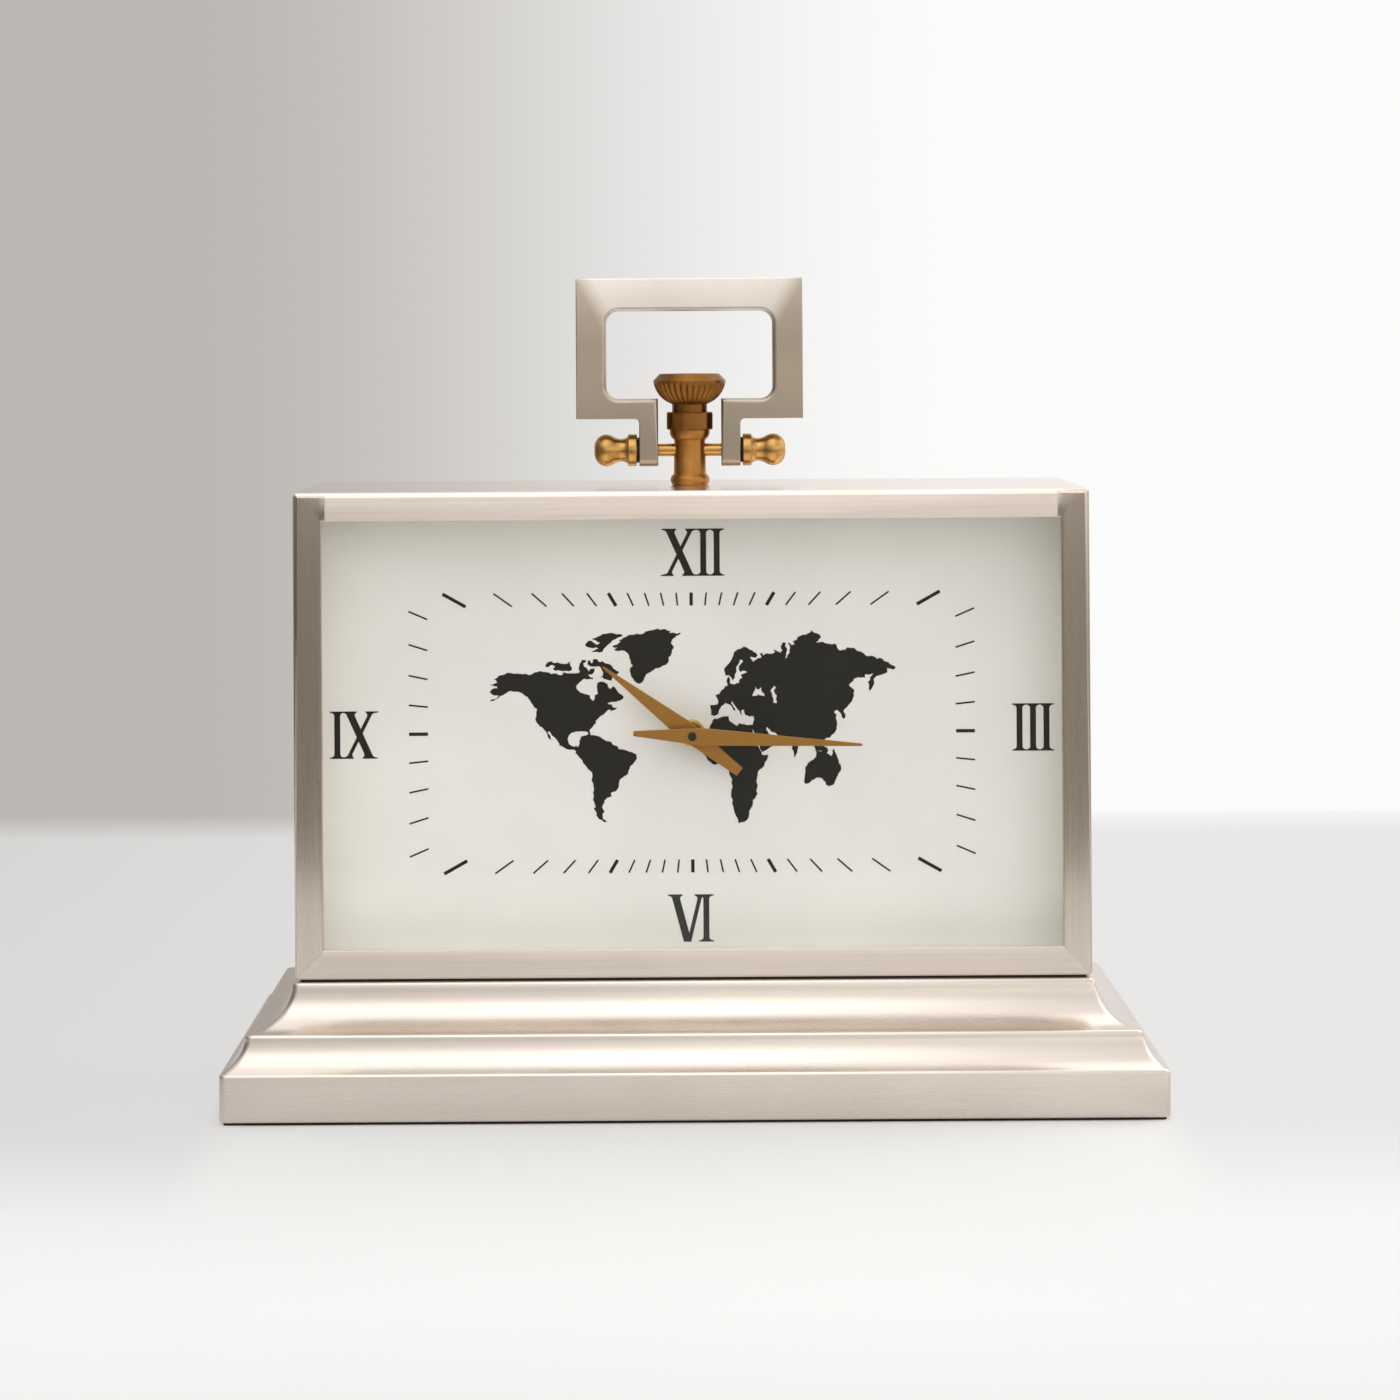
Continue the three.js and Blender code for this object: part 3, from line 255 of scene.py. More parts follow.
def plain(name, colour, roughness, metallic, grain, variation=0.06, relief=0.1, depth=0.08, gloss=0.5):
    """A fine-grained surface: lacquer, moulded plastic, rubber, powder coat or felt by its numbers."""
    g = Surface(name, Metallic=metallic, Specular_IOR_Level=gloss)
    speckle = g.noise(grain, 3.0, 0.6)
    clouds = g.noise(22.0, 2.0, 0.5, 2.2)
    light = g.maths(g.span(speckle, 1 - variation, 1 + variation), g.span(clouds, 0.97, 1.02))
    g.wire(Base_Color=g.scaled(colour, light), Roughness=g.span(speckle, roughness - 0.05, roughness + 0.05))
    g.bump(speckle, relief, depth)
    return g.material


def clear_glass():
    """Clear pane: a thin share of mirror over what lies behind."""
    g = Surface("glass_clear", Base_Color=(0.6, 0.64, 0.6, 1), Alpha=0.035, Metallic=1.0)
    g.wire(Roughness=g.span(g.noise(12.0, 3.0, 0.6), 0.02, 0.06))
    g.material.surface_render_method = "BLENDED"
    return g.material


PLINTH_NICKEL = (0.7, 0.622, 0.558)
FLOOR, FRONT_SHADE = (0.785, 0.787, 0.788), 0.84
MATERIALS = {
    "nickel_x": brushed("nickel_brushed_along", PLINTH_NICKEL, "X", 0.27, 0.6, contrast=0.02, relief=0.012),
    "nickel_y": brushed("nickel_brushed_deep", PLINTH_NICKEL, "Y", 0.27, 0.6, contrast=0.02, relief=0.012),
    # For the case and the handle the second, darker colour is painted shade on the uprights; the handle's lighter beam
    # colour is a painted highlight.
    "nickel_case": bezel_metal("nickel_brushed_case", (0.735, 0.648, 0.579), (0.645, 0.562, 0.479), 0.36, 1.0, 0.07),
    "nickel_handle": handle_metal("nickel_satin_handle", (0.71, 0.65, 0.588), (0.52, 0.434, 0.342), 0.4, 0.035),
    # The post's brass is the crown and collar's antique brass made lighter: painted light on the post.
    "post_brass": turned("brass_post_turned", (0.54, 0.255, 0.066), (0.3, 0.125, 0.03), "Z", 0.42, 0.75),
    "antique_brass": turned("brass_antique_turned", (0.325, 0.142, 0.034), (0.16, 0.064, 0.016), "Z", 0.4, 0.75),
    "pale_brass": turned("brass_turned", (0.6, 0.345, 0.11), (0.38, 0.19, 0.053), "X", 0.31),
    "nut_brass": turned("brass_nut_turned", (0.7, 0.46, 0.12), (0.4, 0.24, 0.06), "Y", 0.22),
    "hand_gold": plain("hand_gold_satin", (0.42, 0.195, 0.033), 0.42, 0.8, 1500.0, 0.05, 0.08),
    "steel": brushed("steel_zinc", (0.55, 0.55, 0.55), "Z", 0.38, 0.3),
    "black_steel": plain("steel_blackened", (0.012, 0.012, 0.012), 0.42, 0.5, 1200.0),
    "copper": brushed("copper_wire", (0.5, 0.17, 0.07), "X", 0.35, 0.3),
    "dial": plain("dial_lacquer", (0.95, 0.925, 0.872), 0.5, 0.0, 1400.0, 0.012, 0.04, 0.03),
    "ink": plain("dial_ink", (0.011, 0.0095, 0.007), 0.6, 0.0, 2200.0, 0.15, 0.05, 0.03, 0.15),
    "black_metal": plain("powder_coat_black", (0.014, 0.0135, 0.013), 0.55, 0.0, 1500.0, 0.2, 0.5, 0.1),
    "black_plastic": plain("plastic_black", (0.016, 0.016, 0.016), 0.42, 0.0, 1100.0, 0.15, 0.3),
    "spacer": plain("spacer_lacquer", (0.93, 0.92, 0.82), 0.5, 0.0, 1100.0, 0.02, 0.1),
    "white_plastic": plain("plastic_white", (0.78, 0.765, 0.72), 0.45, 0.0, 1100.0, 0.03, 0.15),
    "circuit": plain("solder_mask_green", (0.012, 0.09, 0.03), 0.35, 0.0, 700.0, 0.2),
    "battery": plain("battery_sleeve", (0.03, 0.032, 0.036), 0.3, 0.3, 600.0, 0.1),
    "felt": plain("felt_black", (0.01, 0.009, 0.008), 0.95, 0.0, 2600.0, 0.5, 0.8, 0.3),
    "board": plain("fibre_board", (0.11, 0.065, 0.036), 0.8, 0.0, 800.0, 0.3, 0.4, 0.2),
    "rubber": plain("rubber_black", (0.008, 0.008, 0.008), 0.7, 0.0, 1000.0, 0.2, 0.2),
    "glass": clear_glass(),
}


# Meshes

def new_object(name, data):
    made = bpy.data.objects.new(name, data)
    bpy.context.scene.collection.objects.link(made)
    return made


def new_mesh(name, shape):
    """A mesh from millimetre points and faces."""
    points, faces = shape
    mesh = bpy.data.meshes.new(name)
    mesh.from_pydata([(x * MM, y * MM, z * MM) for x, y, z in points], [], faces)
    return mesh


def smooth(mesh, sharp=32.0):
    mesh.shade_smooth()
    mesh.set_sharp_from_angle(angle=math.radians(sharp))


def final_mesh(shape, name):
    """The mesh of an object with its modifiers."""
    mesh = bpy.data.meshes.new_from_object(shape.evaluated_get(bpy.context.evaluated_depsgraph_get()))
    mesh.name = name
    return mesh


def add_mesh(name, mesh, materials, replaces=None, body="clock_body", pick=None):
    """A piece on a body. pick gives a face's material number from its centre."""
    piece = new_object(name, mesh)
    for key in materials.split():
        mesh.materials.append(MATERIALS[key])
    if pick:
        for face in mesh.polygons:
            face.material_index = pick(face.center / MM)
    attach(piece, body)
    if replaces:
        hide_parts(replaces)


def add_piece(name, shape, materials, replaces=None, body="clock_body", pick=None, sharp=32.0):
    mesh = new_mesh(name, shape)
    mesh.validate()
    smooth(mesh, sharp)
    add_mesh(name, mesh, materials, replaces, body, pick)


def rectangle(half_u, half_v, radius, count=5):
    """A rectangle with rounded corners as (u, v) points, anticlockwise."""
    points = []
    for corner, (side_u, side_v) in enumerate([(1, 1), (-1, 1), (-1, -1), (1, -1)]):
        for i in range(count):
            angle = math.pi / 2 * (corner + i / (count - 1))
            points.append((side_u * (half_u - radius) + radius * math.cos(angle),
                           side_v * (half_v - radius) + radius * math.sin(angle)))
    return points


def circle(radius, count, start=0.0):
    step = 2 * math.pi / count
    return [(radius * math.cos(start + i * step), radius * math.sin(start + i * step)) for i in range(count)]


def skin(rings, closed=False):
    """Points and faces over rings of equal count, capped at both ends unless the last ring joins the first."""
    count = len(rings[0])
    points = [p for ring in rings for p in ring]
    faces = []
    for i in range(len(rings) if closed else len(rings) - 1):
        a = i * count
        b = ((i + 1) % len(rings)) * count
        faces += [(a + j, a + (j + 1) % count, b + (j + 1) % count, b + j) for j in range(count)]
    if not closed:
        faces.append(tuple(reversed(range(count))))
        faces.append(tuple(range(len(points) - count, len(points))))
    return points, faces


def arc(start, end, sagitta, steps):
    """Points from start to end that bulge to the right of the way by a sagitta, or to the left if negative."""
    (u0, v0), (u1, v1) = start, end
    chord = math.hypot(u1 - u0, v1 - v0)
    bulge = abs(sagitta)
    radius = chord * chord / (8 * bulge) + bulge / 2
    half = math.asin(min(1.0, chord / 2 / radius))
    along = ((u1 - u0) / chord, (v1 - v0) / chord)
    side = math.copysign(1.0, sagitta)
    points = []
    for i in range(steps + 1):
        angle = half * (2 * i / steps - 1)
        reach = chord / 2 + radius * math.sin(angle)
        rise = side * radius * (math.cos(angle) - math.cos(half))
        points.append((u0 + along[0] * reach + along[1] * rise, v0 + along[1] * reach - along[0] * rise))
    return points


def lathe(profile, axis, centre, count):
    """Points and faces of a (radius, height) profile turned about an axis through a centre."""
    to_axis = {
        "x": lambda u, v, h: (h, u, v),
        "-x": lambda u, v, h: (-h, -u, v),
        "y": lambda u, v, h: (v, h, u),
        "z": lambda u, v, h: (u, v, h),
    }[axis]
    rings = []
    for radius, height in profile:
        ring = [to_axis(u, v, height) for u, v in circle(max(radius, 0.001), count)]
        rings.append([(x + centre[0], y + centre[1], z + centre[2]) for x, y, z in ring])
    return skin(rings)


def ring_lathe(profile, axis, centre, count):
    """As lathe, for a closed profile with a bore."""
    points, _ = lathe(profile, axis, centre, count)
    return skin([points[i * count:(i + 1) * count] for i in range(len(profile))], closed=True)


def merged(*meshes):
    points, faces = [], []
    for more_points, more_faces in meshes:
        start = len(points)
        points += more_points
        faces += [tuple(start + i for i in face) for face in more_faces]
    return points, faces


def inset(outline, distances):
    """An anticlockwise outline moved inwards by a distance for each point."""
    moved = []
    for i, (spot, distance) in enumerate(zip(outline, distances)):
        here = Vector(spot)
        way_in = (here - Vector(outline[i - 1])).normalized()
        way_out = (Vector(outline[(i + 1) % len(outline)]) - here).normalized()
        normal = Vector((-way_in.y - way_out.y, way_in.x + way_out.x))
        here += normal * distance / max(0.25, 1 + way_in.dot(way_out))
        moved.append((here.x, here.y))
    return moved


def prism(outline, front, back, edge=0.0):
    """A plate from an (x, z) outline listed anticlockwise, between two depths, with a chamfered front edge."""
    rings = [[(x, back, z) for x, z in outline]]
    if edge:
        rings.append([(x, front + edge, z) for x, z in outline])
    rings.append([(x, front, z) for x, z in inset(outline, [edge] * len(outline))])
    return skin(rings)


def box(low, high):
    (x0, y0, z0), (x1, y1, z1) = low, high
    points = [(x, y, z) for x in (x0, x1) for y in (y0, y1) for z in (z0, z1)]
    faces = [(0, 1, 3, 2), (4, 6, 7, 5), (0, 4, 5, 1), (2, 3, 7, 6), (0, 2, 6, 4), (1, 5, 7, 3)]
    return points, faces


# Base

def build_base():
    outer = arc((BASE_OVERHANG - 1.2, 1.0), (BASE_OVERHANG, 2.2), 0.35, 5)
    outer += arc((BASE_OVERHANG, 19.1), (26.4, 20.5), 0.25, 6)
    outer += arc((26.4, 20.5), (18.3, 31.8), -1.6, 16)[1:]
    outer += arc((18.3, 32.7), (16.6, 34.1), 0.45, 6)
    outer += arc((16.6, 34.1), (1.4, 49.0), -3.9, 22)[1:]
    outer += arc((1.1, 50.6), (-0.8, BASE_TOP), 0.35, 5)
    hollow = [(-1.5, 47.5), (2.4, 38.0), (9.0, 32.0), (14.6, 29.9), (17.0, 23.5), (24.0, 16.9), (24.0, 1.0)]
    rings = []
    for offset, height in hollow + outer:
        outline = rectangle(CASE_HALF[0] + offset, CASE_HALF[1] + offset, 3.0, 9)
        rings.append([(x, y, height) for x, y in outline])

    def grain(centre):
        """The second material at the two ends, as far as the mitres."""
        return 1 if CASE_HALF[0] - abs(centre.x) < CASE_HALF[1] - abs(centre.y) else 0

    add_piece("plinth", skin(rings), "nickel_x nickel_y", "base_plinth", pick=grain)


# Case

def build_case():
    half_x, half_y, half_z = CASE_HALF
    lip = 0.5
    face = CASE_CROWN - half_y
    dome = [(3.2, 0.36), (5.6, 0.66), (8.2, 0.94), (10.2, 0.85)]

    def wall(edge, crown):
        """The wall's section as (gap, depth): an edge radius outside, a crowned front, a lip at the opening."""
        section = [(0.4, half_y), (0.0, half_y - 0.4)]
        section += arc((edge, face), (0.0, face + edge), edge * 0.2929, 8)[::-1]
        section += [(reach, face - share * crown) for reach, share in dome]
        section += arc((BEZEL - lip, face), (BEZEL, face + lip), 0.146, 4)
        return section + [(BEZEL, 2.0 - half_y), (CASE_WALL, 2.0 - half_y), (CASE_WALL, half_y)]

    def half_ring(flat, crowned, side):
        """The upper or lower half of a ring: flat at the corners, crowned along the middle."""
        (gap, depth), (_, crown_depth) = flat, crowned
        corners = rectangle(half_x - gap, half_z - gap, max(1.6 - gap, 0.3))
        corners = corners[:10] if side > 0 else corners[10:]
        height = side * (half_z - gap)
        near = min(half_x - BEZEL + 1.0, half_x - gap - 1.7)
        far = near - 2.2
        middle = [(near, depth, height), (far, crown_depth, height), (-far, crown_depth, height),
                  (-near, depth, height)]
        placed = [(x, depth, z) for x, z in corners]
        return placed[:5] + (middle if side > 0 else middle[::-1]) + placed[5:]

    rings = []
    walls = [wall(edge, crown) for edge in (CASE_EDGE, CASE_LOW_EDGE) for crown in (0.0, CASE_CROWN)]
    for upper, upper_crowned, lower, lower_crowned in zip(*walls):
        ring = half_ring(upper, upper_crowned, 1) + half_ring(lower, lower_crowned, -1)
        rings.append([(x, y, CASE_MIDDLE + z) for x, y, z in ring])
    tabs = []
    for x, z in SCREWS:
        wide, tall = (8, 6.5) if z else (6.5, 8)
        tabs.append(box((x - wide, 41.4, CASE_MIDDLE + z - tall), (x + wide, 43.4, CASE_MIDDLE + z + tall)))
    add_piece("case", merged(skin(rings, closed=True), *tabs), "nickel_case", "case_shell")


# Handle, post and crown

def rounded_outline(corners):
    """(x, z, radius) corners as points, each corner rounded by an arc."""
    points = []
    count, steps = len(corners), 8
    for i, (x, z, radius) in enumerate(corners):
        here = Vector((x, z))
        if radius == 0:
            points.append((x, z))
            continue
        before = (Vector(corners[i - 1][:2]) - here).normalized() * radius
        after = (Vector(corners[(i + 1) % count][:2]) - here).normalized() * radius
        centre = here + before + after
        for step in range(steps + 1):
            turn = math.pi / 2 * step / steps
            spot = centre - after * math.cos(turn) - before * math.sin(turn)
            points.append((spot.x, spot.y))
    return points


def handle_outline():
    """The handle's outline, and the radius of the rolled edge at each of its points."""
    half, inner_half = 48.1, 35.4
    bar_low, bar_high = 28.4, 36.8
    leg_in, leg_out = 13.45, 21.5
    right = [(leg_in, HANDLE_FOOT, 0), (leg_out, HANDLE_FOOT, 0), (leg_out, bar_low, 1.8), (half, bar_low, 0),
             (half, HANDLE_TOP, 0)]
    inside = [(inner_half, HANDLE_INNER_TOP, 5.3), (inner_half, bar_high, 5.3), (leg_in, bar_high, 0)]

    def mirror(corners):
        return [(-x, z, r) for x, z, r in reversed(corners)]

    outer = rounded_outline(right + mirror(right))
    opening = rounded_outline(mirror(inside) + inside)
    return outer + opening, [HANDLE_EDGE] * len(outer) + [HANDLE_OPENING_EDGE] * len(opening)


def handle_depth(z):
    """Half the handle's depth at a height: thinner toward the top, rounded at the feet."""
    if z > HANDLE_ROLL:
        rise = min(1.0, (z - HANDLE_ROLL) / (HANDLE_TOP - HANDLE_ROLL))
        return HANDLE_HALF_DEPTH - HANDLE_THINNING * rise * rise
    drop = min(1.0, max(0.0, 1 - (z - HANDLE_FOOT) / HANDLE_FOOT_RADIUS))
    return HANDLE_HALF_DEPTH - HANDLE_FOOT_RADIUS * (1 - math.sqrt(1 - drop * drop))


def solid_object(name, shape):
    return new_object(name, new_mesh(name, shape))


def frozen(shape, name, cutters):
    """The mesh of an object after its cutters and with shading led by its large faces. Removes the objects."""
    for cutter in cutters:
        cut = shape.modifiers.new("cut", "BOOLEAN")
        cut.operation = "DIFFERENCE"
        cut.solver = "EXACT"
        cut.object = cutter
    smooth(shape.data)
    normals = shape.modifiers.new("normals", "WEIGHTED_NORMAL")
    normals.keep_sharp = True
    mesh = final_mesh(shape, name)
    for scrap in (shape, *cutters):
        bpy.data.objects.remove(scrap)
    return mesh


def build_handle():
    outline, edges = handle_outline()
    steps = 5
    rings = []
    for i in range(2 * steps + 2):
        back = i <= steps
        turn = math.pi / 2 * ((steps - i) if back else (i - steps - 1)) / steps
        ring = inset(outline, [edge * (1 - math.cos(turn)) for edge in edges])
        reaches = [HANDLE_HALF_DEPTH - edge * (1 - math.sin(turn)) for edge in edges]
        rings.append([(x, reach if back else -reach, z) for (x, z), reach in zip(ring, reaches)])
    blank = solid_object("handle_blank", skin(rings))
    levels = [HANDLE_ROLL + (HANDLE_TOP - HANDLE_ROLL) * i / 16 for i in range(16)]
    levels += [HANDLE_FOOT + HANDLE_FOOT_RADIUS * (1 - math.cos(math.pi / 2 * i / 10)) for i in range(1, 11)]
    shape = bmesh.new()
    shape.from_mesh(blank.data)
    for level in levels:
        bmesh.ops.bisect_plane(shape, geom=shape.verts[:] + shape.edges[:] + shape.faces[:], dist=1e-7,
                               plane_co=(0, 0, level * MM), plane_no=(0, 0, 1))
    for vert in shape.verts:
        vert.co.y *= handle_depth(vert.co.z / MM) / HANDLE_HALF_DEPTH
        vert.co.z += CASE_TOP * MM
    shape.to_mesh(blank.data)
    shape.free()
    bore = solid_object("handle_bore", lathe([(2.85, -60.0), (2.85, 60.0)], "x", (0, 0, PIN_HEIGHT), 40))
    mesh = frozen(blank, "carry_handle", [bore])
    add_mesh("carry_handle", mesh, "nickel_handle", "handle", "handle_body")


def build_post():
    profile = [(3.0, -12.0), (3.0, 0.1), (7.5, 0.1)]
    profile += arc((7.5, 0.4), (7.1, 4.6), 1.0, 14)
    profile += [(6.95, 4.8), (6.85, 5.1), (6.6, 18.9), (6.75, 19.1), (6.75, 19.4)]
    profile += arc((6.9, 19.5), (8.5, 23.1), 0.55, 10)
    profile += [(8.5, 23.6), (3.5, 23.6), (3.5, 19.0)]
    add_piece("post", lathe(profile, "z", (0, 0, CASE_TOP), 80), "post_brass", "handle_post")

    low, high, bore, edge = CASE_TOP + 23.7, CASE_TOP + 31.1, 3.5, 0.35
    rings = []
    for radius, height in [(bore, low), (9.7, low), (10.1, low + 0.4), (10.1, high - 0.4), (9.7, high), (bore, high)]:
        corners = circle(radius, 12, math.pi / 12)
        ring = []
        for i, corner in enumerate(corners):
            here = Vector(corner)
            for other in (corners[i - 1], corners[(i + 1) % 12]):
                spot = here + (Vector(other) - here).normalized() * min(edge, radius * 0.1)
                ring.append((spot.x, spot.y, height))
        rings.append(ring)
    add_piece("collar", skin(rings, closed=True), "antique_brass", "post_collar")


def build_crown():
    neck_low, bowl_low, rim, top = 31.2, 34.6, 43.9, 47.4
    flutes, per_flute, flute_depth = 32, 10, 0.75
    bowl_steps = 20
    rows = [(3.0, 20.0, 0), (3.0, neck_low, 0), (7.45, neck_low, 0), (7.45, bowl_low - 0.3, 0)]
    for i, (radius, height) in enumerate(arc((7.75, bowl_low), (15.4, rim), 1.6, bowl_steps)):
        fade = min(1.0, 0.35 + 0.2 * i, (bowl_steps - i) / 2.0)
        rows.append((radius, height, flute_depth * fade))
    lip = arc((15.45, rim + 0.35), (15.1, rim + 1.0), 0.12, 4) + arc((13.0, top - 0.35), (12.2, top), 0.15, 4)
    rows += [(radius, height, 0) for radius, height in lip]
    rings = []
    count = flutes * per_flute
    for radius, height, depth in rows:
        ring = []
        for i in range(count):
            angle = 2 * math.pi * i / count
            reach = radius - depth * (1 - abs(math.cos(math.pi * i / per_flute)))
            ring.append((reach * math.cos(angle), reach * math.sin(angle), CASE_TOP + height))
        rings.append(ring)
    add_piece("crown", skin(rings), "antique_brass", "crown_knob")


def build_pin():
    centre = (0, 0, PIN_HEIGHT)
    pin = [(2.4, -33.0), (2.7, -32.7), (2.7, 32.7), (2.4, 33.0)]
    add_piece("cross_pin", lathe(pin, "x", centre, 40), "pale_brass", "pivot_pin")
    low, high = 22.5, 26.3
    finial = [(2.9, 33.5), (2.9, low), (6.3, low)]
    finial += arc((6.3, low), (6.8, low + 0.5), 0.146, 3)[1:]
    finial += arc((6.8, high - 0.5), (6.3, high), 0.146, 3)
    finial += arc((5.9, high), (4.8, 28.9), -0.3, 8)
    finial += arc((4.8, 28.9), (5.75, 32.2), -0.22, 8)[1:]
    finial += arc((5.75, 32.2), (6.8, 35.6), 0.25, 8)[1:]
    finial += arc((6.8, 35.6), (0.0, 40.4), 2.0, 18)[1:]
    washer = [(2.9, 21.6), (5.2, 21.6), (5.4, 21.8), (5.4, 22.2), (5.2, 22.4), (2.9, 22.4)]
    for side, axis in (("left", "-x"), ("right", "x")):
        add_piece("finial_" + side, lathe(finial, axis, centre, 64), "pale_brass", side + "_finial")
        add_piece("washer_" + side, ring_lathe(washer, axis, centre, 48), "rubber", side + "_washer")


# Dial

INK_FOOT, INK_HEIGHT, INK_STEP = 0.005, 0.06, 0.004

# Strokes of a letter of height 1 that stands on z 0 about x 0: x at the foot and at the head, width, and the reach
# of the serif's tips to the left and right at the foot and at the head
LETTERS = {
    "I": [(0, 0, 0.125, (0.155, 0.155), (0.155, 0.155))],
    "X": [(0.225, -0.225, 0.165, (0.165, 0.15), (0.15, 0.165)), (-0.245, 0.255, 0.085, (0.15, 0.12), (0.13, 0.14))],
    "V": [(0.0, -0.265, 0.165, None, (0.15, 0.16)), (0.03, 0.275, 0.085, None, (0.13, 0.14))],
}


def add_print(name, outlines):
    """Thin ink slabs on the dial from anticlockwise (x, z) outlines, each a hair higher than the one before."""
    slabs = []
    for i, outline in enumerate(outlines):
        front = DIAL_FRONT - INK_HEIGHT - INK_STEP * (i % 8)
        slabs.append(prism([(x, DIAL_CENTRE + z) for x, z in outline], front, DIAL_FRONT - INK_FOOT))
    add_piece(name, merged(*slabs), "ink")


def serif(left, right, tip_left, tip_right, base, rise, thin):
    """A bracketed serif: a thin foot from tip to tip that sweeps up to the stroke's two edges."""
    way = math.copysign(1.0, rise)
    steps = 7

    def bracket(tip, edge):
        turns = [math.pi / 2 * i / steps for i in range(steps + 1)]
        return [(tip + (edge - tip) * math.sin(t), base + way * thin + (rise - way * thin) * (1 - math.cos(t)))
                for t in turns]

    points = [(tip_left, base), (tip_right, base)] + bracket(tip_right, right) + bracket(tip_left, left)[::-1]
    return points if way > 0 else points[::-1]


def stroke_with_serifs(x_low, x_high, width, foot, head):
    half, rise, thin = width / 2, 0.095, 0.026
    shapes = [[(x_low - half, 0.0), (x_low + half, 0.0), (x_high + half, 1.0), (x_high - half, 1.0)]]
    lean = x_high - x_low
    if foot:
        middle = x_low + lean * rise
        shapes.append(serif(middle - half, middle + half, x_low - foot[0], x_low + foot[1], 0.0, rise, thin))
    if head:
        middle = x_high - lean * rise
        shapes.append(serif(middle - half, middle + half, x_high - head[0], x_high + head[1], 1.0, -rise, thin))
    return shapes


def build_print():
    height = 19.7
    pitch = 0.285 * height
    numerals = {
        "twelve": ([("X", -5.0), ("I", 4.95), ("I", 4.95 + pitch)], (0.2, 75.1)),
        "three": ([("I", -pitch), ("I", 0.0), ("I", pitch)], (142.1, 1.4)),
        "six": ([("V", -2.1), ("I", 5.7)], (-0.2, -77.3)),
        "nine": ([("I", -6.4), ("X", 2.9)], (-141.4, -0.2)),
    }
    for name, (letters, centre) in numerals.items():
        add_print("numeral_" + name, [
            [(centre[0] + x + height * u, centre[1] + height * (v - 0.5)) for u, v in outline]
            for kind, x in letters for stroke in LETTERS[kind] for outline in stroke_with_serifs(*stroke)])

    ticks = []
    for minute in range(60):
        angle = math.radians(6 * minute)
        way = Vector((1.026 * math.sin(angle), math.cos(angle))).normalized()
        across = Vector((way.y, -way.x)) * (0.7 if minute % 5 == 0 else 0.34)

        def reach(half_x, half_z):
            return min(half_x / max(abs(way.x), 1e-6), half_z / max(abs(way.y), 1e-6))

        near, far = way * reach(110.0, 52.9), way * reach(117.9, 58.3)
        ticks.append([near - across, near + across, far + across, far - across])
    add_print("minute_track", ticks)


# The world map's outlines on a sheet whose unit is a little over half a millimetre, with y downwards
MAP_UNIT = 0.6112
MAP_ORIGIN = (151.0, 85.55)
EAST_SHEET = 143.16
NORTH_AMERICA = [
    (14.5, 63.5), (13.5, 63), (19, 60), (20, 59.4), (15, 59), (13, 57), (15, 55.2), (18.5, 54.6), (18, 53), (14, 52.6),
    (13.5, 51.6), (18.5, 50.5), (16, 48.4), (20, 46), (25, 44), (32, 44.5), (38, 44.6), (40, 45.6), (44, 43.6),
    (48, 43), (52, 43.6), (55, 45), (58, 44.8), (60, 45.6), (63, 45.6), (63.5, 44), (68, 44.5), (73, 44.6),
    (75, 43.5), (74, 41), (74.5, 38.5), (76, 35.5), (79.5, 35), (79, 37), (77, 38), (77.5, 40), (80, 42),
    (81, 43.5), (82.5, 41.5), (85, 41.4), (84.5, 44), (82.8, 45.5), (80.5, 45.5), (82, 47.4), (84.5, 49),
    (80, 49), (77.5, 48.5), (75, 50.5), (72.5, 53), (72.5, 55.5), (75, 58), (79, 59), (81.5, 59.5), (82, 62),
    (83.8, 63.8), (84.8, 62), (84.5, 60), (87, 58), (86.5, 54), (86.8, 51), (89.5, 50.5), (91.5, 50.8),
    (93.5, 52), (94, 54), (95.5, 55.5), (97.5, 53.4), (99.5, 55.5), (101.5, 58.5), (104.5, 60.5), (104, 62.5),
    (100.5, 63.8), (96.5, 64.4), (93.5, 65.5), (97, 65.8), (96.5, 67), (97.5, 68.3), (100, 68.3), (98, 70),
    (95.8, 71), (95.2, 69.6), (92, 71.5), (91, 73), (88, 74.5), (85.5, 77), (85.8, 79), (83.5, 81), (81.2, 83.5),
    (81.6, 87), (80.4, 87), (79.8, 84.8), (77.5, 84.3), (74, 84.5), (70.5, 85), (67.5, 86.5), (66.6, 88.5),
    (66.8, 91.5), (68.5, 94), (71, 94.8), (72.3, 94), (73, 96.5), (70.5, 97), (66.5, 96.5), (63.5, 95.3),
    (60.5, 93.8), (59.5, 91.5), (57.5, 88.5), (55, 85.8), (53, 84), (52.8, 85.5), (54.5, 88), (56, 90.6),
    (54.5, 89.5), (52.5, 87), (51, 84), (49.5, 82), (47, 80.5), (45, 78), (44.3, 75), (44.8, 71), (45.5, 69),
    (43, 66.5), (41, 63.5), (39.5, 61), (37, 59.5), (34, 57.5), (31, 57), (28, 56.5), (25, 57.5), (22, 59.5),
    (18.5, 61.8),
]
VICTORIA_ISLAND = [
    (51.2, 40), (53, 37), (55.5, 36.4), (57, 37.5), (60, 37), (62.5, 38), (65, 38.3), (67, 37.5), (68.5, 36.5),
    (68, 38.5), (69.5, 41), (68.5, 43), (65.5, 42.8), (62, 43), (58, 43), (56.5, 41.6), (58, 40.4), (55, 39),
    (53, 40.6),
]
BAFFIN_ISLAND = [
    (80, 39), (80.5, 36), (82, 36), (82.5, 37.8), (83.5, 37.5), (84, 35.5), (86.5, 35.2), (87.5, 37), (90, 36.5),
    (93.5, 38.2), (97, 40), (97.3, 41.5), (99.5, 43), (101.5, 44.2), (100, 46), (97.5, 46.3), (96.8, 48.5),
    (96.5, 50), (93.5, 49.3), (90.5, 47.6), (88, 47.4), (90.5, 46.3), (91, 44), (89, 41), (86.5, 40), (83, 40.2),
]
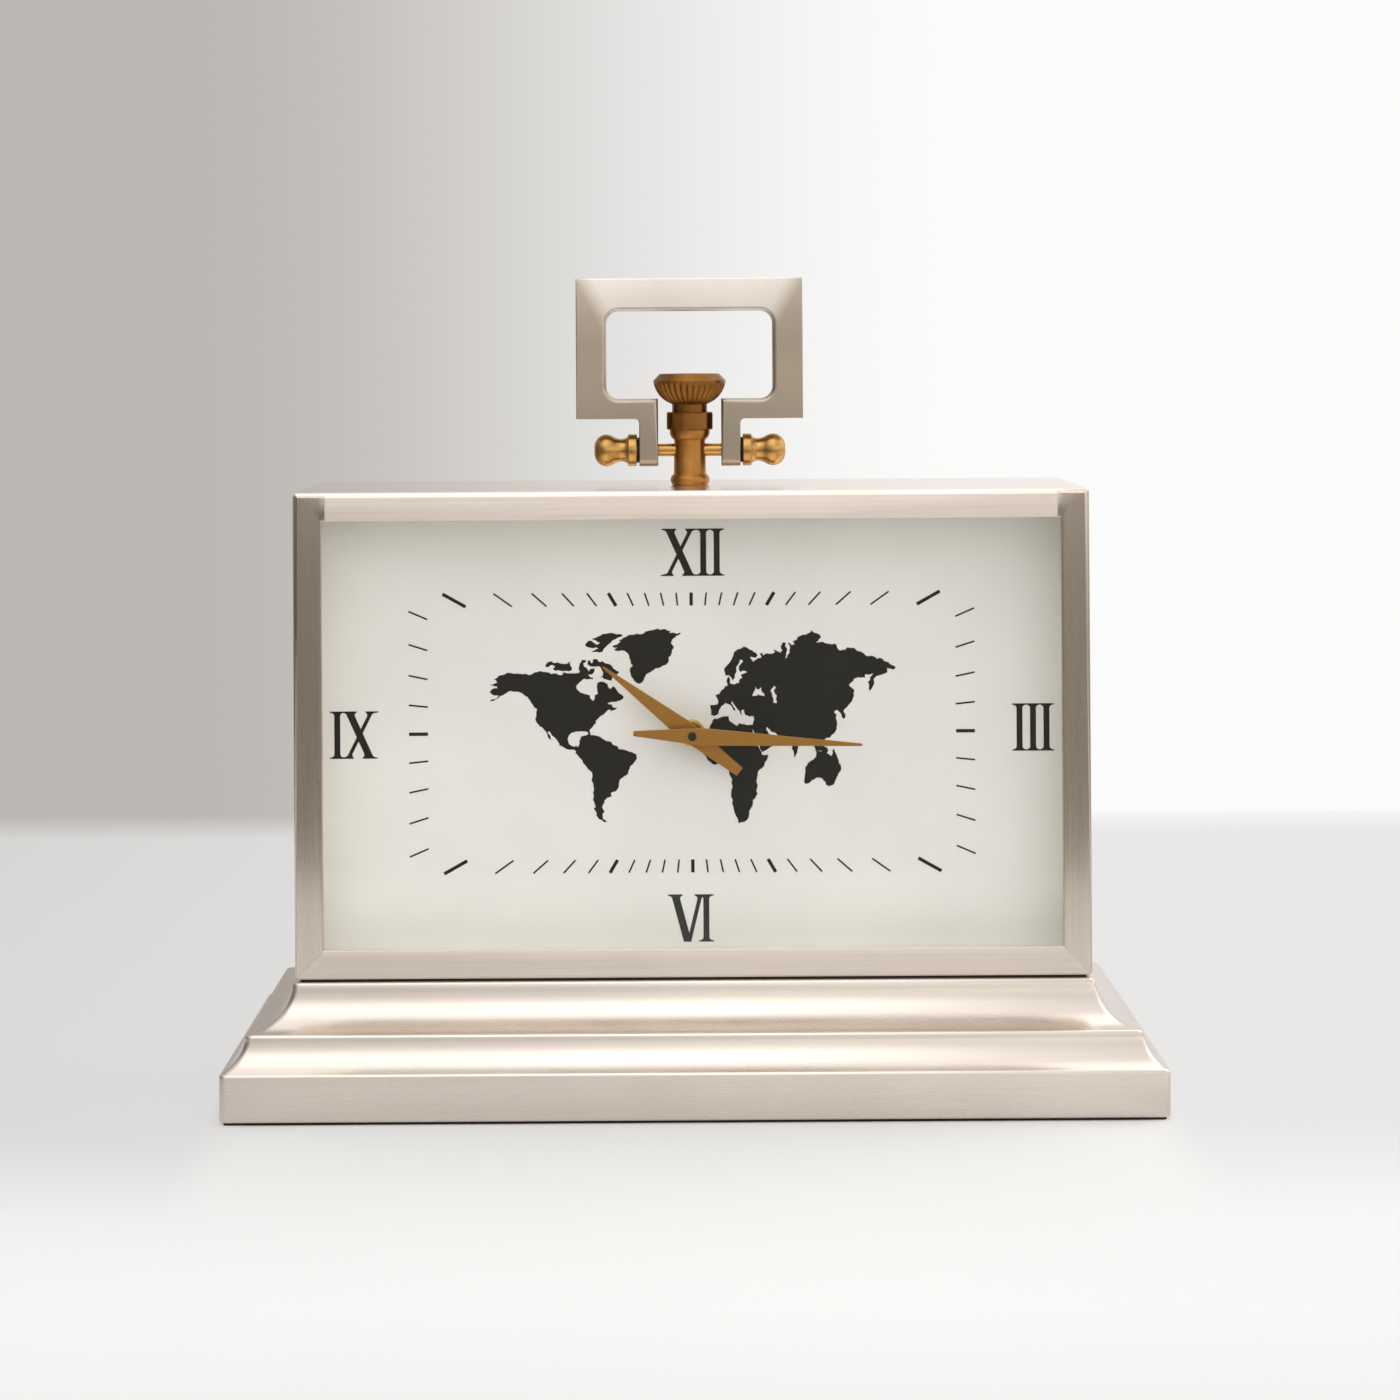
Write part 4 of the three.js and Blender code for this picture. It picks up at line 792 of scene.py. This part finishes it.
ELLESMERE_ISLAND = [
    (83.5, 21.5), (88, 19.5), (93, 18), (98, 17.7), (105.8, 18.2), (103, 20), (99.5, 21.5), (96, 24), (93.5, 26),
    (91.5, 28), (90.5, 30), (86.5, 30), (82.5, 30.3), (84.5, 29.2), (88, 28.4), (86, 27.2), (82.5, 27.5),
    (80.5, 27.3), (78.5, 25), (80.5, 23), (83, 22.6), (84.5, 24), (86.5, 25.4), (88.5, 24.4), (86.5, 23),
]
GREENLAND = [
    (97, 26.5), (100, 25.5), (103, 23.6), (101.5, 22.5), (105, 20.5), (109, 18.6), (113, 18), (117.5, 18.3),
    (120, 16.3), (124, 15.8), (128, 14.5), (133, 14.8), (136.8, 16), (136, 18), (139.5, 17.5), (144, 17.8),
    (141, 19.5), (138.5, 21.5), (137, 24.5), (138.8, 26.5), (138, 29), (137.5, 31.5), (135, 34.5), (135.5, 37),
    (133, 39.5), (130, 41), (126.5, 41.5), (123.5, 44), (119.8, 46), (118.5, 49), (116, 52), (113, 51),
    (111, 48.5), (109.5, 46), (108.8, 43), (109.5, 41), (111, 40), (109.5, 38.5), (109.5, 36), (108.5, 34.5),
    (108, 32), (106, 30), (103, 29.3), (99, 29.5), (98, 28.3), (101, 27.5),
]
SOUTH_AMERICA = [
    (74, 91), (75, 88.3), (77.5, 87), (78.5, 87.6), (80, 86), (81.5, 86.8), (86.5, 87.5), (89, 88.5), (92, 90.8),
    (95.5, 91.5), (98, 94), (100.5, 94.6), (100.8, 96.3), (105, 97), (110, 98.5), (113, 100), (113.3, 102.5),
    (111.5, 105.5), (110.5, 107), (108.5, 109.5), (107, 114), (103.5, 116), (101.5, 118), (101, 120.5),
    (98.5, 125.5), (95.5, 126.3), (95.8, 129), (92.5, 130), (90.5, 132), (91.5, 133), (89.5, 135.5), (89.8, 137),
    (91, 138.5), (89.5, 141), (89.8, 142.8), (91.5, 145), (92.8, 146.5), (90.5, 146.3), (88, 144.5), (85.5, 141.8),
    (85, 139), (83.7, 136.5), (85, 136), (84.5, 133.5), (83.3, 130), (83.2, 126), (83.5, 121), (83, 115),
    (82, 111.5), (79, 109), (77, 106.5), (74.5, 102.5), (71.5, 99.5), (72, 98), (70.5, 96.6), (72.5, 95.5),
    (74, 93.5),
]
EURASIA = [
    (20.5, 67), (25, 66.8), (26, 65), (25, 62), (23.7, 60.5), (26.5, 59.5), (28, 57), (30.5, 54.5), (32.5, 53.8),
    (32, 52), (31.8, 49.5), (33.3, 47.6), (34, 49), (33.8, 52), (36, 52.8), (40, 52), (40.5, 49.5), (42.5, 48.5),
    (41.5, 46), (45.5, 44.6), (44, 43.8), (41, 44.3), (40, 43), (40.5, 40), (43, 37.5), (42, 36), (40.5, 36.5),
    (40, 39), (38.2, 41), (38.5, 44), (37.5, 46), (36.8, 49), (35.5, 50.3), (34.5, 48), (33.2, 46.4), (31, 47),
    (30.3, 44.5), (30.5, 41.5), (33.5, 38.5), (35.5, 34.5), (37, 31), (40, 28.8), (43.5, 27), (46, 28), (49.5, 30),
    (52.8, 33), (51.5, 35), (48, 34.4), (50, 38), (51.5, 36.5), (53, 35.2), (55.5, 34.5), (54.8, 32), (56, 31.5),
    (56.5, 33.5), (60, 32), (64.5, 31.5), (64, 29), (66.5, 30.5), (68.5, 31.5), (70, 30), (68.8, 27), (70, 24.5),
    (72, 24.8), (71.8, 27), (73, 29.5), (72.5, 33), (71.3, 35.2), (73, 35), (74.5, 32), (75, 28), (73.5, 25),
    (74.5, 24.8), (76, 26.5), (78, 26.3), (77, 23.6), (79.5, 23), (81, 20.5), (86, 19.3), (88, 18.3), (89.8, 16.2),
    (91.5, 18), (95, 19), (96.3, 21), (94.5, 23.5), (93, 25), (97, 24.2), (100, 25.5), (103, 26), (105.5, 25.5),
    (107, 28), (108.5, 30), (113, 29.5), (114.5, 28), (119, 28.8), (120.5, 30.5), (125, 32), (127.5, 34.3),
    (132, 34.5), (134, 36), (138, 36.2), (142, 38.2), (144.5, 40.5), (147, 41.8), (146, 43.5), (144, 43),
    (141, 42.4), (141, 45.5), (137.5, 47), (133.5, 48.3), (132, 50), (132.3, 52), (131, 55.5), (129.5, 58.8),
    (128.5, 56), (128, 52), (129.5, 49.5), (131.8, 45.6), (129, 47), (126.5, 46.5), (126, 49), (121.5, 48.5),
    (118.5, 49.5), (116, 52.5), (115, 54), (117, 55.5), (118.7, 57), (118.3, 61.5), (116.5, 65.5), (114, 68.5),
    (112.5, 69.5), (111, 71.5), (112.5, 75.5), (111.3, 77), (109.8, 74.5), (108.7, 72.4), (107, 70.8), (104.8, 72.5),
    (106.5, 74), (106, 76.5), (107, 80), (106.5, 83.5), (104.5, 87), (102, 89.5), (98, 90.8), (97, 92.5),
    (97.5, 95), (100.6, 98), (99.6, 100.3), (97, 99), (94, 98.5), (92, 97.5), (91, 95.5), (89.4, 93.6), (88, 91.2),
    (86, 89.8), (84, 91.5), (82, 93.6), (80, 97), (79.4, 100), (78, 103.2), (77.3, 102), (76, 97.5), (75, 93.5),
    (72.5, 90), (68, 88.4), (64.4, 86), (62, 85.4), (60.5, 83.6), (59, 82), (58.3, 83.5), (60, 86.5), (62.5, 88.5),
    (64.3, 92.6), (62, 95.6), (58.5, 98), (55.5, 99.3), (54, 96), (52.4, 92.6), (50.8, 88), (49.4, 84), (49.4, 80),
    (50, 75), (47, 74.8), (44.5, 74), (43.5, 70), (42, 70.4), (41.5, 72.4), (42, 74), (40.5, 72), (39, 70), (37, 67),
    (35, 64.4), (34.5, 66), (37.5, 70), (37.5, 72), (36, 70.2), (33.5, 66.6), (30.5, 65.6), (28, 67.5), (26.5, 70),
    (26, 73), (23, 74.6), (20.7, 73.5), (20.8, 70),
]
BLACK_SEA = [
    (49, 60.6), (50.5, 57.5), (51.2, 54.7), (52.5, 56.5), (54, 56.4), (55.5, 54), (55, 56.6), (57, 59), (57.5, 61),
    (55.5, 60.6), (53, 59.8), (50.5, 61),
]
CASPIAN_SEA = [
    (61.6, 57), (64, 54), (65.3, 55), (63.8, 57.5), (65, 60), (66, 61), (65.6, 66), (63.5, 65.6), (63, 62),
]
AFRICA = [
    (20.3, 80.5), (23, 76.5), (27, 75.5), (31, 74.5), (33, 74.5), (33.2, 77.5), (36, 79.5), (39, 81), (40, 79.3),
    (43.5, 80), (47, 80.6), (49.6, 80.5), (49.2, 84), (50.2, 88), (51.8, 93), (54.2, 97.6), (55.5, 101), (60, 101),
    (58.5, 105), (55.5, 110), (52.5, 114.5), (51.8, 118), (52.5, 122), (52.3, 127.5), (49, 132), (48.8, 136),
    (47, 138.5), (46.5, 142), (43.5, 146.5), (40.5, 147), (38.8, 147.5), (37.5, 143), (36, 137), (35, 131),
    (34.3, 127), (35.3, 123), (34.8, 117), (33, 112), (32.5, 108.6), (30, 108), (26, 106.8), (22, 107.5),
    (18.5, 104.5), (16, 100.5), (15, 97), (16.5, 93), (17.5, 88), (18.5, 84),
]
AUSTRALIA = [
    (91.8, 97), (94.3, 98.8), (97, 98.6), (99.6, 100), (102.5, 102.3), (103.5, 101), (104.7, 97), (106, 101),
    (107.5, 104.5), (109.2, 108.5), (108.5, 113), (106, 117.5), (104.5, 121.5), (101, 123), (99, 122), (98.5, 119.5),
    (97.3, 119), (96, 117.3), (92.5, 117), (89, 119), (86, 121), (84.2, 120.5), (84.5, 117), (85, 113), (84.8, 109.5),
    (87, 106.5), (91, 104), (92.5, 101),
]
LANDS = {
    "land_north_america": (0, [NORTH_AMERICA]),
    "land_arctic_islands": (0, [VICTORIA_ISLAND, BAFFIN_ISLAND, ELLESMERE_ISLAND]),
    "land_greenland": (0, [GREENLAND]),
    "land_south_america": (0, [SOUTH_AMERICA]),
    "land_eurasia": (EAST_SHEET, [EURASIA, BLACK_SEA, CASPIAN_SEA]),
    "land_africa": (EAST_SHEET, [AFRICA]),
    "land_australia": (EAST_SHEET, [AUSTRALIA]),
}


def coast(outline, seed):
    """An outline with small bays and capes: long sides are split again and again at points set off sideways."""
    chance = random.Random(seed)
    shortest, most = 0.9, 0.17

    def split(a, b):
        if math.dist(a, b) < shortest:
            return [a]
        push = chance.uniform(-most, most)
        middle = ((a[0] + b[0]) / 2 + (b[1] - a[1]) * push, (a[1] + b[1]) / 2 - (b[0] - a[0]) * push)
        return split(a, middle) + split(middle, b)

    return [spot for a, b in zip(outline, outline[1:] + outline[:1]) for spot in split(a, b)]


def filled_sheet(name, outlines, level):
    """A thin filled sheet on the dial from closed outlines, where an outline inside another is a hole."""
    curve = bpy.data.curves.new(name, "CURVE")
    curve.dimensions = "2D"
    curve.fill_mode = "BOTH"
    curve.extrude = 0.02 * MM
    for outline in outlines:
        spline = curve.splines.new("POLY")
        spline.points.add(len(outline) - 1)
        for point, (x, z) in zip(spline.points, outline):
            point.co = (x * MM, z * MM, 0.0, 1.0)
        spline.use_cyclic_u = True
    made = new_object(name, curve)
    mesh = final_mesh(made, name)
    bpy.data.objects.remove(made)
    mesh.transform(Matrix.Rotation(math.pi / 2, 4, "X"))
    mesh.transform(Matrix.Translation((0, (DIAL_FRONT - level) * MM, DIAL_CENTRE * MM)))
    return mesh


def build_map():
    for i, (name, (shift, sheets)) in enumerate(LANDS.items()):
        outlines = [[((x + shift - MAP_ORIGIN[0]) * MAP_UNIT, (MAP_ORIGIN[1] - y) * MAP_UNIT)
                     for x, y in coast(sheet, len(sheet))] for sheet in sheets]
        add_mesh(name, filled_sheet(name, outlines, 0.05 + 0.003 * i), "ink")


# Hands

def hand_outline(length, tail, width, tip, end, turn):
    right = [(end / 2, -tail), (width / 2, 4.0), (tip / 2, length - tip * 0.6), (tip * 0.22, length)]
    left = [(-x, z) for x, z in reversed(right)]
    c, s = math.cos(turn), math.sin(turn)
    return [(x * c + z * s, DIAL_CENTRE - x * s + z * c) for x, z in right + left]


def build_hands():
    thickness, edge = 0.9, 0.22
    for name, size, turns, level in [
        ("hour", (46.6, 24.8, 8.0, 0.8, 4.1), (10 + MINUTES_PAST_TEN / 60) / 12, 8.4),
        ("minute", (70.4, 24.3, 7.3, 1.1, 2.1), MINUTES_PAST_TEN / 60, 11.6),
    ]:
        back = DIAL_FRONT - level
        shape = prism(hand_outline(*size, 2 * math.pi * turns), back - thickness, back, edge)
        add_piece("hand_" + name, shape, "hand_gold", name + "_hand", name + "_body", sharp=20.0)


# Back

def build_screws():
    """Pan heads with a cross recess, in place of the plain ones."""
    back = BACK_FACE
    head = [(0.0, 38.5), (1.5, 39.5), (1.5, back + 0.1), (3.4, back + 0.1)]
    head += arc((0.8, back + 1.9), (3.4, back + 0.6), 0.5, 8)[::-1]
    head += [(0.0, back + 1.9)]
    for i, (x, z) in enumerate(SCREWS):
        z += CASE_MIDDLE
        blank = solid_object("screw_blank", lathe(head, "y", (x, 0, z), 40))
        cross = [solid_object("screw_cross", box((x - wide, back + 0.8, z - tall), (x + wide, back + 3.0, z + tall)))
                 for wide, tall in ((1.7, 0.32), (0.32, 1.7))]
        name = "screw_%d" % (i + 1)
        add_mesh(name, frozen(blank, name, cross), "steel", "back_" + name)


# The CAD's own pieces that stay as they are, by material
CARRIED_OVER = {
    "steel": "case_bolt_left case_bolt_right case_nut_left case_nut_right post_washer post_nut quartz_crystal stator "
             "dial_bracket_1 dial_bracket_2 dial_bracket_3 dial_bracket_4 "
             "battery_contact_negative battery_contact_positive",
    "board": "base_bottom_plate", "felt": "base_felt", "rubber": "case_gasket bush_gasket", "glass": "glass_pane",
    "spacer": "dial_spacer", "dial": "dial_plate", "black_metal": "back_panel", "nut_brass": "bush_nut",
    "black_plastic": "movement_housing movement_cover", "black_steel": "minute_arbor", "circuit": "circuit_board",
    "white_plastic": "hour_wheel minute_wheel setting_knob", "copper": "drive_coil", "battery": "battery",
}


def dress_cad():
    for key, names in CARRIED_OVER.items():
        for name in names.split():
            slots = NODES[name].material_slots
            if not slots:
                NODES[name].data.materials.append(MATERIALS[key])
            for slot in slots:
                slot.material = MATERIALS[key]


# Studio, in metres

def sweep_material():
    """Pale floor. Away from the clock it shows the camera and the mirroring metal a set light of its own: as floor up
    to the horizon, and beyond it as a backdrop that is grey at the left and white at the right of the picture."""
    g = Surface("studio_sweep", Roughness=0.7, Specular_IOR_Level=0.15)
    x, y, _ = g.xyz()
    horizon, screen_scale = (0.6, 0.69), 2.147
    beyond = g.span(y, 0.0, 1.0, horizon)
    # Painted light and shade in the floor's colour: lighter toward the right, darker beyond the horizon and toward the
    # front.
    light = g.maths(g.span(x, 0.97, 1.04, (-0.5, 0.4)), g.span(g.noise(3.0, 1.0, 0.4), 0.99, 1.01))
    light = g.maths(light, g.span(beyond, 1.0, 0.7, (0.0, 1.0)))
    light = g.maths(light, g.span(y, FRONT_SHADE, 1.0, (-0.55, -0.3)))
    g.wire(Base_Color=g.scaled(FLOOR, light))
    spread = g.maths(g.maths(x, g.maths(y, -CAMERA[1] * MM, "ADD"), "DIVIDE"), screen_scale)
    backdrop = g.ramp(g.span(spread, 0.0, 1.0, (-0.5, 0.35)),
                      [(0.15, (0.5, 0.475, 0.45)), (0.85, (0.97, 0.97, 0.965))], "EASE")
    ground = g.scaled((1.0, 0.99, 0.975), g.span(x, 0.655, 0.81, (-0.5, 0.2)))
    glow = g.add("Emission", inputs={"Color": g.mix("RGBA", beyond, ground, backdrop), "Strength": 1.0})
    beside = g.maths(g.span(g.maths(x, 0.0, "ABSOLUTE"), 0.0, 0.9, (0.178, 0.2)), g.span(y, 0.0, 1.0, (-0.2, -0.08)))
    away = g.maths(g.span(y, 0.0, 0.85, (-0.07, 0.16)), beside, "MAXIMUM")
    path = g.add("LightPath").outputs
    seen = g.maths(path["Is Camera Ray"], path["Is Glossy Ray"], "MAXIMUM")
    mixed = g.add("MixShader", inputs={
        0: g.maths(seen, g.maths(beyond, away, "MAXIMUM")), 1: g.shader.outputs["BSDF"], 2: glow.outputs["Emission"]})
    g.tree.links.new(mixed.outputs["Shader"], g.tree.nodes["Material Output"].inputs["Surface"])
    return g.material


def add_floor(name, points, faces, material):
    mesh = bpy.data.meshes.new(name)
    mesh.from_pydata(points, [], faces)
    mesh.shade_smooth()
    mesh.materials.append(material)
    floor = new_object(name, mesh)
    return floor


def build_sweep():
    half, nearest, front, bend, radius, top = 2.5, -3.0, -0.555, 1.75, 0.35, 2.6
    profile = [(front, 0.0), (0.0, 0.0)]
    profile += [(bend + radius * math.sin(t), radius - radius * math.cos(t))
                for t in [math.pi / 2 * i / 32 for i in range(33)]]
    profile.append((bend + radius, top))
    points = [(x, y, z) for y, z in profile for x in (-half, half)]
    faces = [(2 * i, 2 * i + 1, 2 * i + 3, 2 * i + 2) for i in range(len(profile) - 1)]
    add_floor("floor", points, faces, sweep_material())
    points = [(-half, nearest, 0.0), (half, nearest, 0.0), (half, front, 0.0), (-half, front, 0.0)]
    # The front floor's colour is darkened by the same painted front shade.
    shaded = plain("studio_floor_front", [FRONT_SHADE * c for c in FLOOR], 0.7, 0.0, 3.0, 0.01, 0.0)
    floor = add_floor("floor_front", points, [(0, 1, 2, 3)], shaded)
    floor.visible_glossy = False
    floor.visible_diffuse = False


def lamp(name, place, aim, size, radiance):
    """A soft box whose face has a given radiance."""
    data = bpy.data.lights.new(name, "AREA")
    data.shape = "RECTANGLE"
    data.size, data.size_y = size
    data.energy = radiance * math.pi * size[0] * size[1]
    made = new_object(name, data)
    made.location = place
    made.rotation_euler = (Vector(aim) - Vector(place)).to_track_quat("-Z", "Y").to_euler()


def build_world():
    """A bright room, darker at the left, high on the right and about the horizon, as the metal mirrors it."""
    world = bpy.data.worlds.new("studio")
    bpy.context.scene.world = world
    world.use_nodes = True
    g = Nodes(world.node_tree)
    x, y, z = g.xyz("Generated")
    sky = g.ramp(g.span(z, 0.0, 1.0, (-0.1, 0.9)), [
        (0.02, (0.23, 0.215, 0.19)), (0.18, (0.76, 0.75, 0.73)),
        (0.5, (0.8, 0.795, 0.78)), (0.85, (1.15, 1.145, 1.13))])
    turn = g.maths(x, g.maths(y, 0.14), "ADD")
    shade = g.maths(g.span(turn, 1.0, 0.55, (0.01, 0.05)), g.span(z, 1.0, 0.0, (0.3, 0.6)), "MAXIMUM")
    shade = g.maths(shade, g.span(y, 0.0, 1.0, (-0.15, 0.0)), "MAXIMUM")
    side = g.span(x, 0.265, 1.82, (-0.9, 0.35))
    seen = g.add("LightPath").outputs["Is Camera Ray"]
    background = g.tree.nodes["Background"].inputs
    g.tree.links.new(g.mix("RGBA", seen, sky, (0.84, 0.84, 0.835, 1)), background["Color"])
    g.tree.links.new(g.mix("FLOAT", seen, g.maths(side, shade), 1.0), background["Strength"])


def build_studio():
    build_sweep()
    lamp("soft_box", (-0.45, -0.43, 1.2), (-0.45, -0.43, 0.0), (1.52, 0.5), 0.52)
    lamp("front_box", (-0.45, -0.96, 1.14), (-0.45, -0.03, 0.2), (1.52, 0.56), 0.55)
    build_world()


def build_camera():
    data = bpy.data.cameras.new("camera")
    data.sensor_width = 36.0
    data.lens = 75.29
    data.shift_x, data.shift_y = 0.0179, -0.2595
    camera = new_object("camera", data)
    camera.location = [c * MM for c in CAMERA]
    camera.rotation_euler = Euler((math.pi / 2, math.radians(CAMERA_ROLL), 0.0))
    bpy.context.scene.camera = camera


bpy.context.scene.view_settings.view_transform = "Standard"
build_base()
build_case()
build_handle()
build_post()
build_crown()
build_pin()
build_print()
build_map()
build_hands()
build_screws()
dress_cad()
build_studio()
build_camera()
